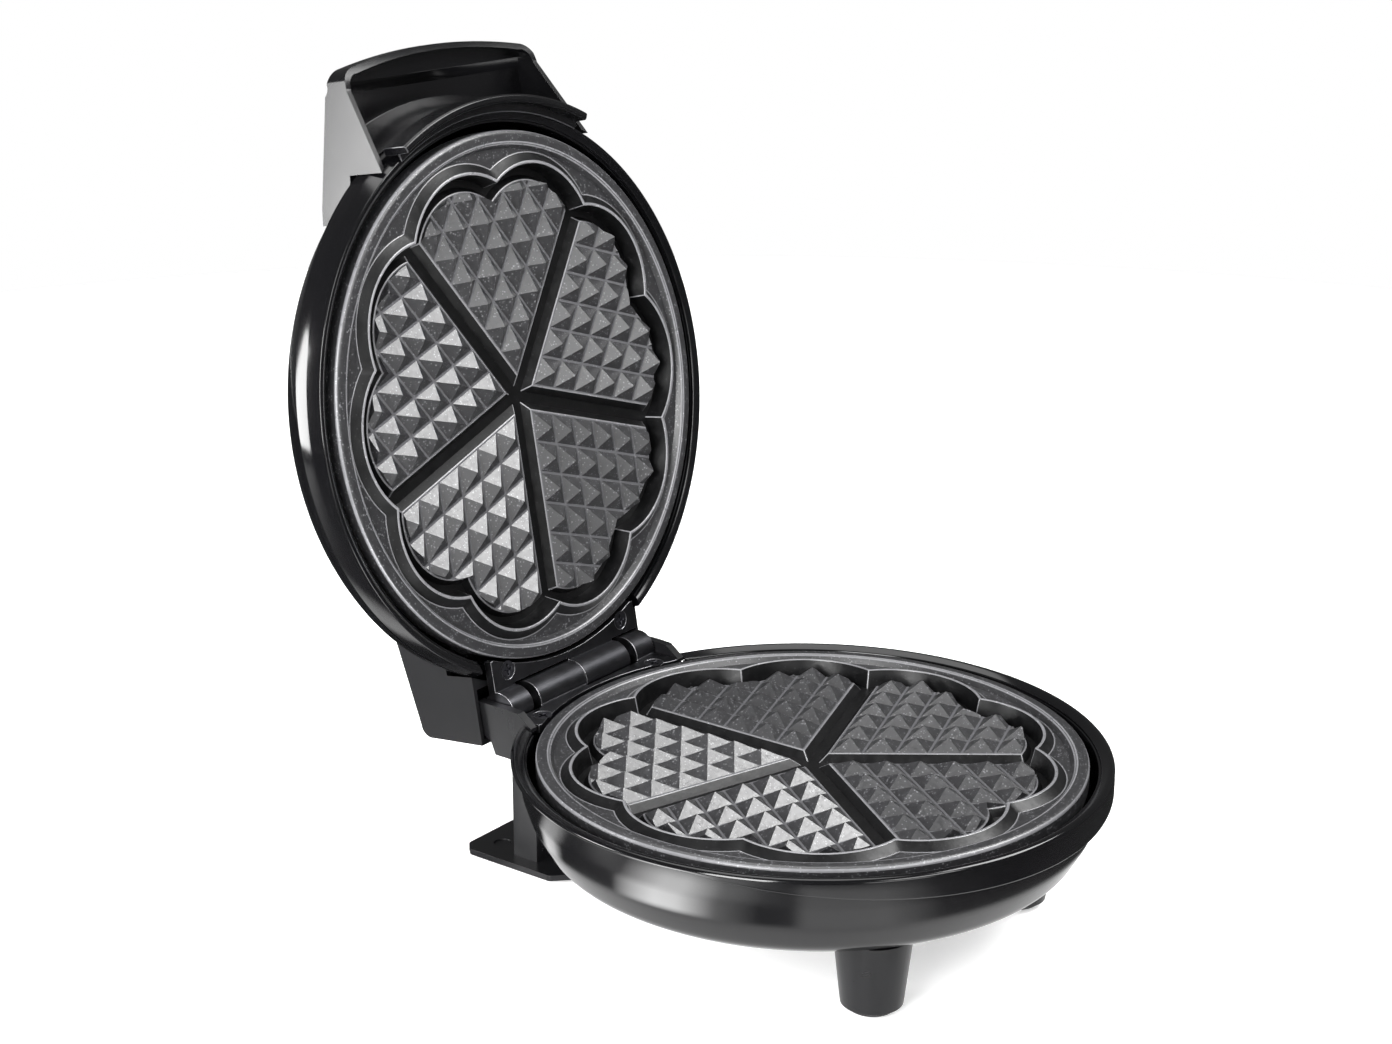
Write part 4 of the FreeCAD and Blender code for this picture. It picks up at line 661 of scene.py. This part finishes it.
def baseRingOutline(angle):
    y = ringWide * math.sin(angle)
    deep = baseFlange["shallow"] + baseFlange["growth"] * max(baseFlange["levelTo"] - y, 0)
    return roundCorners([
        (101.8, -2.0, 0.2), (103.6, -2.0, 0), (103.6, -deep, 0.2), (106.4, -deep, 0.35),
        (ringWide, -deep + 0.7, 0.3), (ringWide, -1.0, 0.6), (106.0, -0.2, 0.5), (104.6, 0.0, 0.6),
        (102.1, -1.5, 0.3)])


# lid ring: deeper towards the handle, with a flank that leans in from its widest line
lidFlange = {"shallow": 5.3, "growth": 0.04, "back": 130, "wideAt": 9, "lean": 1.6 / 8.3, "draft": 0.0375,
             "waist": 0.55, "gap": (-25, 1)}


def lidRingOutline(angle):
    deep = lidFlange["shallow"] + (lidFlange["back"] - ringWide * math.sin(angle)) * lidFlange["growth"]
    below, above = deep - lidFlange["wideAt"], lidFlange["wideAt"] - deep * lidFlange["waist"]
    outer = ringWide - below * (lidFlange["draft"] if below > 0 else -lidFlange["lean"])
    waist = ringWide - max(above, 0) * lidFlange["lean"]
    return roundCorners([
        (101.8, -2.5, 0.2), (103.6, -2.5, 0), (103.6, -deep, 0.2), (outer, -deep, 0.5),
        (waist, -deep * lidFlange["waist"], 0.3), (105.2, -0.7, 0.35), (104.2, -0.5, 0.4),
        (102.1, -1.6, 0.3)])


# base bowl: one section all round, with vents and screw holes in its floor and a cord hole behind
baseBowl = {"section": ((103.3, -2.3, 0.2), (103.3, -11.5, 1.6), (100.6, -20.5, 2.4), (95.0, -30.5, 3.0),
                        (89.0, -34.2, 1.6), (86.0, -34.6, 0.8), (0, -34.6, 0), (0, -32.4, 0),
                        (85.6, -32.4, 0.6), (92.8, -29.9, 2.0), (98.4, -19.9, 2.0), (101.1, -11.2, 1.0),
                        (101.1, -2.3, 0.2)),
            "gap": (-12.2, 1.8), "cordHole": ((-8, 84, -24), (8, 104, -18)),
            "vents": 5, "ventPitch": 7, "ventWide": 2.6, "ventLong": 30, "ventFront": -14,
            "ventCut": (-37, -31), "holeRing": 46, "holeRadius": 3.9, "holeAt": (30, 150, 270),
            "holeCut": (-35.3, -32.3)}
bowlLine = roundCorners(baseBowl["section"], 4)

# lid dome: outer line and inner line from the rim to the middle, and the step where the lid ring sits
lidDome = {"outer": ((106.3, 3.56), (106.3, 10.0), (104.0, 17.2), (95.1, 28.4), (80.3, 38.0), (64, 41.6),
                     (48.3, 43.4), (24.0, 44.4), (0, 44.5)),
           "inner": ((0, 42.3), (24, 42.2), (47.9, 41.2), (79.1, 35.6), (93.1, 26.6), (101.7, 16.2),
                     (101.1, 10), (101.1, 3.56)),
           "rim": 3.56, "seat": 103.3, "stepRadius": 106.0, "stepTop": 17.0, "front": -130, "stepSlope": 0.04,
           "points": 40, "crowding": 1.35, "gap": (0, 9.3), "tailHole": ((-30, 84, 12), (30, 106, 28)),
           "lampAt": ((-13, -60), (13, -60)), "lampRadius": 3.6, "lampCut": (36, 48)}


def smoothLine(points, steps):
    # points on a soft curve through the corners
    out = []
    for i in range(len(points) - 1):
        p0 = Vector(points[max(i - 1, 0)])
        p1, p2 = Vector(points[i]), Vector(points[i + 1])
        p3 = Vector(points[min(i + 2, len(points) - 1)])
        for k in range(steps):
            t = k / steps
            out.append(0.5 * ((2 * p1) + (p2 - p0) * t + (2 * p0 - 5 * p1 + 4 * p2 - p3) * t ** 2
                              + (3 * p1 - 3 * p2 + p0 * -1 + p3) * t ** 3))
    out.append(Vector(points[-1]))
    return out


domeCurve = smoothLine(lidDome["outer"], 8)


def domeOutline(angle):
    # the dome's line above the step, with the same number of points at every bearing, closer near the rim
    y = lidDome["stepRadius"] * math.sin(angle)
    step = lidDome["stepTop"] - (y - lidDome["front"]) * lidDome["stepSlope"]
    above = [p for p in domeCurve if p.y > step + 0.01]
    first = domeCurve[len(domeCurve) - len(above) - 1]
    line = [first.lerp(above[0], (step - first.y) / (above[0].y - first.y))] + above
    lengths = [0.0]
    for a, b in zip(line, line[1:]):
        lengths.append(lengths[-1] + (b - a).length)
    outer = []
    for k in range(lidDome["points"] + 1):
        want = lengths[-1] * (k / lidDome["points"]) ** lidDome["crowding"]
        j = min(max(i for i in range(len(lengths)) if lengths[i] <= want + 1e-9), len(line) - 2)
        share = (want - lengths[j]) / max(lengths[j + 1] - lengths[j], 1e-9)
        spot = line[j].lerp(line[j + 1], min(share, 1.0))
        outer.append((max(spot.x, 0), spot.y))
    return [(lidDome["seat"], lidDome["rim"]), (lidDome["seat"], step)] + outer + list(lidDome["inner"])


baseRing = newPiece("baseFlangeRing", turnRings(baseRingOutline, turnSteps), baseSpace, [phenolicGloss])
cutAway(baseRing, [hingeGap(*baseFlange["gap"])], [], baseSpace)
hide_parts("base_flange_ring")

lidRing = newPiece("lidFlangeRing", turnRings(lidRingOutline, turnSteps), lidTwinSpace, [phenolicGloss])
cutAway(lidRing, [hingeGap(*lidFlange["gap"])], [], lidTwinSpace)
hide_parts("lid_flange_ring")

bowl = newPiece("baseBowlShell", turnRings(lambda angle: bowlLine, turnSteps), baseSpace, [phenolicGloss])
openings = [hingeGap(*baseBowl["gap"]), baseBowl["cordHole"]]
for i in range(baseBowl["vents"]):
    front = baseBowl["ventFront"] + baseBowl["ventPitch"] * i
    openings.append(((-baseBowl["ventLong"] / 2, front, baseBowl["ventCut"][0]),
                     (baseBowl["ventLong"] / 2, front + baseBowl["ventWide"], baseBowl["ventCut"][1])))
holes = [(baseBowl["holeRing"] * math.cos(math.radians(a)), baseBowl["holeRing"] * math.sin(math.radians(a)),
          baseBowl["holeRadius"], *baseBowl["holeCut"]) for a in baseBowl["holeAt"]]
cutAway(bowl, openings, holes, baseSpace)
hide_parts("base_bowl")

dome = newPiece("lidDomeShell", turnRings(domeOutline, turnSteps), lidSpace, [phenolicGloss])
cutAway(dome, [hingeGap(*lidDome["gap"]), lidDome["tailHole"]],
        [(x, y, lidDome["lampRadius"], *lidDome["lampCut"]) for x, y in lidDome["lampAt"]], lidSpace)
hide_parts("lid_cover")
for piece, body in ((baseRing, "base"), (bowl, "base"), (lidRing, "lid"), (dome, "lid")):
    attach(piece, body)
print("housings made")


# handle, tail cover, stand, feet and hinge: CAD shapes with moulded corner radii in millimetres
cornered = {
    # the handle's corner strips take handleRim, a painted highlight
    "scoopHandle": {"node": "handle_grip", "radius": 0.7, "finishes": [handleGloss, handleRim],
                    "body": "lid", "slot": "grip_black"},
    "hingeTailCover": {"node": "hinge_cover", "radius": 0.6, "finishes": [polyamideSatin],
                       "body": "lid", "slot": "cover_black"},
    "rearStandColumn": {"node": "rear_stand", "radius": 0.5, "finishes": [polyamideHalfGloss],
                        "body": "base", "slot": "stand_black"},
    "rearFootPlate": {"node": "rear_foot_plate", "radius": 0.5, "finishes": [polyamideHalfGloss],
                      "body": "base", "slot": "stand_black"},
    "frontFootLeft": {"node": "front_foot_left", "radius": 0.6, "finishes": [polyamideHalfGloss],
                      "body": "base", "slot": "stand_black"},
    "frontFootRight": {"node": "front_foot_right", "radius": 0.6, "finishes": [polyamideHalfGloss],
                       "body": "base", "slot": "stand_black"},
    "baseHingeLeaf": {"node": "base_hinge_leaf", "radius": 0.35, "finishes": [chromatedZinc, rubbedZinc],
                      "body": "base", "slot": "hinge_metal"},
    "lidHingeLeaf": {"node": "lid_hinge_leaf", "radius": 0.35, "finishes": [chromatedZinc, rubbedZinc],
                     "body": "lid", "slot": "hinge_metal"},
}
for name, made in cornered.items():
    edgeSlot = 1 if len(made["finishes"]) > 1 else None         # a second finish goes on the corners
    piece = roundedCopy(name, made["node"], made["radius"], made["finishes"], edgeSlot)
    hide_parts(made["node"])
    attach(piece, made["body"])
print("handle, stand and hinge made")


# finger guard: a blade round the front of the lid ring, full thickness to its lip
guard = {"sweep": 54, "steps": 48, "corner": 0.5,
         "section": ((104.4, 0.62, 0), (107.3, 0.3, 0), (107.6, -4.1, 0.4), (108.3, -4.5, 0.3),
                     (110.0, -4.5, 0.6), (110.6, -3.8, 0.6), (110.6, 6.0, 0.6), (109.4, 7.0, 0.8),
                     (107.2, 7.0, 0), (107.2, 1.42, 0), (104.4, 1.42, 0))}
guardLine = roundCorners(guard["section"])
guardTurn = turnRings(lambda angle: guardLine, guard["steps"], -90 - guard["sweep"] / 2, guard["sweep"])
# the blade's rounded corners take handleRim, a painted highlight
guardBlade = newPiece("fingerGuardBlade", guardTurn, baseSpace, [handleGloss, handleRim])
guardBlade.data.transform(swingOpen)
softEdges(guardBlade, guard["corner"], angle=50, edgeSlot=1)
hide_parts("finger_guard")
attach(guardBlade, "lid")


# countersunk cross-head screws through the hinge leaves
leafScrew = {"across": 33.4, "back": 96.4, "head": 3.5, "sink": 1.7, "top": -0.25, "shank": 1.8,
             "length": 11.75, "slotLong": 4.4, "slotWide": 0.95, "slotDeep": 1.0, "sides": 32, "arris": 0.12}


def crossScrewTree():
    # one screw on every point: tapered head with a cross cut in it, and a shank
    tree, sockets, given = openTree("crossScrew", "Screws", {
        "Places": "Geometry", "Head Radius": "Float", "Sink": "Float", "Shank Radius": "Float",
        "Length": "Float", "Slot Long": "Float", "Slot Wide": "Float", "Slot Deep": "Float",
        "Sides": "Int", "Finish": "Material"})
    head = addNode(tree, "GeometryNodeMeshCone", inputs={
        "Vertices": given["Sides"], "Radius Top": given["Head Radius"],
        "Radius Bottom": given["Shank Radius"], "Depth": given["Sink"]})
    sunk = addNode(tree, "ShaderNodeMath", {"operation": "MULTIPLY"}, {0: given["Sink"], 1: -1.0})
    headPlace = addNode(tree, "ShaderNodeCombineXYZ", inputs={2: sunk.outputs[0]})
    headSet = addNode(tree, "GeometryNodeTransform", inputs={
        "Geometry": head.outputs["Mesh"], "Translation": headPlace.outputs[0]})
    cut = addNode(tree, "GeometryNodeMeshBoolean", {"operation": "DIFFERENCE", "solver": "EXACT"}, {
        "Mesh 1": headSet.outputs["Geometry"]})
    cutDeep = addNode(tree, "ShaderNodeMath", {"operation": "MULTIPLY"}, {0: given["Slot Deep"], 1: 2.0})
    for first, second in (("Slot Long", "Slot Wide"), ("Slot Wide", "Slot Long")):
        armSize = addNode(tree, "ShaderNodeCombineXYZ", inputs={
            0: given[first], 1: given[second], 2: cutDeep.outputs[0]})
        arm = addNode(tree, "GeometryNodeMeshCube", inputs={"Size": armSize.outputs[0]})
        tree.links.new(arm.outputs["Mesh"], cut.inputs["Mesh 2"])
    shankLength = addNode(tree, "ShaderNodeMath", {"operation": "SUBTRACT"}, {
        0: given["Length"], 1: given["Sink"]})
    shank = addNode(tree, "GeometryNodeMeshCylinder", inputs={
        "Vertices": given["Sides"], "Radius": given["Shank Radius"], "Depth": shankLength.outputs[0]})
    shankDrop = addNode(tree, "ShaderNodeMath", {"operation": "MULTIPLY_ADD"}, {
        0: shankLength.outputs[0], 1: -0.5, 2: sunk.outputs[0]})
    shankPlace = addNode(tree, "ShaderNodeCombineXYZ", inputs={2: shankDrop.outputs[0]})
    shankSet = addNode(tree, "GeometryNodeTransform", inputs={
        "Geometry": shank.outputs["Mesh"], "Translation": shankPlace.outputs[0]})
    whole = addNode(tree, "GeometryNodeJoinGeometry")
    tree.links.new(cut.outputs["Mesh"], whole.inputs[0])
    tree.links.new(shankSet.outputs["Geometry"], whole.inputs[0])
    screws = addNode(tree, "GeometryNodeInstanceOnPoints", inputs={
        "Points": given["Places"], "Instance": whole.outputs[0]})
    closeTree(tree, screws.outputs["Instances"], given["Finish"])
    return tree, sockets


crossScrew, screwSockets = crossScrewTree()
for name, node, body, space in (("baseLeafScrews", "base_hinge_screws", "base", baseSpace),
                                ("lidLeafScrews", "lid_hinge_screws", "lid", lidTwinSpace)):
    places = bpy.data.meshes.new(name)
    places.from_pydata([(side * leafScrew["across"], leafScrew["back"], leafScrew["top"])
                        for side in (-1, 1)], [], [])
    screws = placeObject(name, places)
    growTree(screws, crossScrew, screwSockets, {
        "Head Radius": leafScrew["head"], "Sink": leafScrew["sink"], "Shank Radius": leafScrew["shank"],
        "Length": leafScrew["length"], "Slot Long": leafScrew["slotLong"], "Slot Wide": leafScrew["slotWide"],
        "Slot Deep": leafScrew["slotDeep"], "Sides": leafScrew["sides"], "Finish": blackOxideSteel}, 30)
    screws.data.transform(space)
    softEdges(screws, leafScrew["arris"], angle=30)
    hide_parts(node)
    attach(screws, body)
print("guard and hinge screws made")


# CAD nodes that stay as they are, each with its finish
nodeFinish = {
    "lower_heating_element": annealedSheath, "upper_heating_element": annealedSheath,
    "lower_reflector": aluminisedSheet, "upper_reflector": aluminisedSheet, "fuse_clamp": aluminisedSheet,
    "lower_plate_screws": zincPlatedSteel, "upper_plate_studs": zincPlatedSteel,
    "rear_plate_screws": zincPlatedSteel, "front_foot_screws": zincPlatedSteel, "hinge_pin": zincPlatedSteel,
    "thermal_fuse": zincPlatedSteel, "thermostat": firedSteatite, "terminal_block": firedSteatite,
    "element_leads": braidedGlassSleeve, "thermostat_leads": braidedGlassSleeve,
    "rear_pad_left": mouldedRubber, "rear_pad_right": mouldedRubber, "front_pad_left": mouldedRubber,
    "front_pad_right": mouldedRubber, "cord_gland": mouldedRubber,
    "lamp_lens_red": redLens, "lamp_lens_green": greenLens,
}
for node, material in nodeFinish.items():
    slots = frame["nodes"][node].data.materials
    slots.clear()
    slots.append(material)
print("inner parts and pads finished")


# floor: satin white laminate with a faint mottle, a shade below the feet, and a little light of its own
table = {"radius": 1.15, "drop": 0.0003, "sides": 96, "glow": 0.36}
floorMesh = bmesh.new()
bmesh.ops.create_circle(floorMesh, cap_ends=True, segments=table["sides"], radius=table["radius"])
floorFinish = mouldedFinish("whiteLaminateFloor", {
    "shade": "#f4f4f4", "shadeTo": "#fbfbfb", "cloudMm": 300, "smearMm": 200, "rough": (0.35, 0.42),
    "waveMm": 90, "waveHeight": 0.01, "grainMm": 4, "grainHeight": 0.002})
floorShader = floorFinish.node_tree.nodes["Principled BSDF"]
floorShader.inputs["Emission Color"].default_value = hexColour("#ffffff")
floorShader.inputs["Emission Strength"].default_value = table["glow"]
paleFloor = placeObject("paleFloor", meshFrom("paleFloor", floorMesh), [floorFinish])
paleFloor.location.z = -table["drop"]

# the room is white to look at, dim to light with, and nearly dark in reflections
room = {"seen": 1.0, "fill": 0.34, "mirrored": 0.10}
world = bpy.data.worlds.new("paleRoom")
world.use_nodes = True
roomTree = world.node_tree
rays = addNode(roomTree, "ShaderNodeLightPath").outputs
dimmed = addNode(roomTree, "ShaderNodeMix", inputs={
    "Factor": rays["Is Glossy Ray"], 2: room["fill"], 3: room["mirrored"]})
strength = addNode(roomTree, "ShaderNodeMix", inputs={
    "Factor": rays["Is Camera Ray"], 2: dimmed.outputs[0], 3: room["seen"]})
roomTree.links.new(strength.outputs[0], roomTree.nodes["Background"].inputs["Strength"])
roomTree.nodes["Background"].inputs["Color"].default_value = hexColour("#ffffff")
scene.world = world
scene.view_settings.view_transform = "Standard"

# a graded card lying round the object, which only reflections see: black, with soft bright patches by bearing
card = {"inner": 0.020, "outer": 1.15, "sides": 96, "height": 0.0004, "turn": 90, "strength": 22.0,
        "near": (0.112, 0.124), "nearGlow": 0.045, "far": (0.22, 0.30),
        # bearing on the card in degrees, brightness
        "patches": ((0, 0.0), (24, 0.0), (29, 0.09), (35, 0.09), (41, 0.0), (66, 0.005), (81, 0.42),
                    (88, 0.42), (99, 0.07), (111, 0.004), (119, 0.008), (123, 0.06), (144, 0.06),
                    (160, 0.005), (179, 0.0))}
cardMesh = bmesh.new()
bearings = [math.tau * i / card["sides"] for i in range(card["sides"])]
skinRings(cardMesh, [[(r * math.cos(a), r * math.sin(a), 0) for a in bearings]
                     for r in (card["outer"], card["inner"])])
cardFinish, cardTree, cardShader, cardPlace = newFinish("gradedPaperCard")
turnedTo = addNode(cardTree, "ShaderNodeTexGradient", {"gradient_type": "RADIAL"}, {"Vector": cardPlace})
patches = addNode(cardTree, "ShaderNodeValToRGB", inputs={"Fac": turnedTo.outputs["Fac"]})
stops = patches.color_ramp.elements
stops[0].position, stops[1].position = 0.0, 1.0
stops[0].color = stops[1].color = (0, 0, 0, 1)
for bearing, glow in card["patches"]:
    stop = stops.new(0.5 + bearing / 360)
    stop.color = (glow, glow, glow, 1)
reach = addNode(cardTree, "ShaderNodeVectorMath", {"operation": "LENGTH"}, {0: cardPlace})
isNear = addNode(cardTree, "ShaderNodeMapRange", inputs={
    "Value": reach.outputs["Value"], "From Min": card["near"][0], "From Max": card["near"][1],
    "To Min": 1.0, "To Max": 0.0})
cardGlow = addNode(cardTree, "ShaderNodeMix", inputs={
    "Factor": isNear.outputs["Result"], 2: patches.outputs["Color"], 3: card["nearGlow"]})
fade = addNode(cardTree, "ShaderNodeMapRange", inputs={
    "Value": reach.outputs["Value"], "From Min": card["far"][0], "From Max": card["far"][1],
    "To Min": card["strength"], "To Max": 0.0})
cardPower = addNode(cardTree, "ShaderNodeMath", {"operation": "MULTIPLY"}, {
    0: cardGlow.outputs[0], 1: fade.outputs["Result"]})
cardShader.inputs["Base Color"].default_value = hexColour("#0c0c0c")
cardShader.inputs["Emission Color"].default_value = hexColour("#ffffff")
cardTree.links.new(cardPower.outputs[0], cardShader.inputs["Emission Strength"])
gradedCard = placeObject("gradedCard", meshFrom("gradedCard", cardMesh), [cardFinish])
gradedCard.location = (plateOrigin.x, plateOrigin.y, card["height"])
gradedCard.rotation_euler.z = math.radians(card["turn"])
for ray in ("camera", "diffuse", "shadow", "transmission"):
    setattr(gradedCard, "visible_" + ray, False)

# soft boxes: where each stands and points, its size, all in metres, and its watts
softBoxes = {
    "keyLeft": {"at": (-1.20, -0.22, 0.55), "aim": (0.0, 0.05, 0.15), "size": (0.5, 0.9), "watts": 22},
    "rightHigh": {"at": (0.62, -0.58, 1.12), "aim": (0.0, 0.09, 0.17), "size": (0.62, 0.62), "watts": 12.5},
    "frontHigh": {"at": (-0.22, -1.15, 1.00), "aim": (0.0, 0.08, 0.15), "size": (0.6, 0.4), "watts": 5},
    "frontLow": {"at": (-0.45, -0.95, 0.20), "aim": (0.0, 0.09, 0.17), "size": (0.40, 0.40), "watts": 1.3},
    "backLeftLow": {"at": (-0.56, 0.52, 0.24), "aim": (0.0, 0.05, 0.20), "size": (0.22, 0.40), "watts": 4.6},
    "topBack": {"at": (0.2, 0.3, 1.3), "aim": (0.0, 0.0, 0.1), "size": (0.9, 0.9), "watts": 6},
}
for name, box in softBoxes.items():
    data = bpy.data.lights.new(name, "AREA")
    data.shape = "RECTANGLE"
    data.size, data.size_y = box["size"]
    data.energy = box["watts"]
    lamp = placeObject(name, data)
    lamp.location = box["at"]
    lamp.rotation_euler = (Vector(box["aim"]) - Vector(box["at"])).to_track_quat("-Z", "Y").to_euler()
# a high, very soft light that only the floor takes, with the object's shadow in it
floorLight = {"strength": 1.1, "spread": 70}
sun = bpy.data.lights.new("floorLight", "SUN")
sun.energy = floorLight["strength"]
sun.angle = math.radians(floorLight["spread"])
sunLamp = placeObject("floorLight", sun)
floorOnly = bpy.data.collections.new("floorOnly")
floorOnly.objects.link(paleFloor)
sunLamp.light_linking.receiver_collection = floorOnly
print("stage lit")
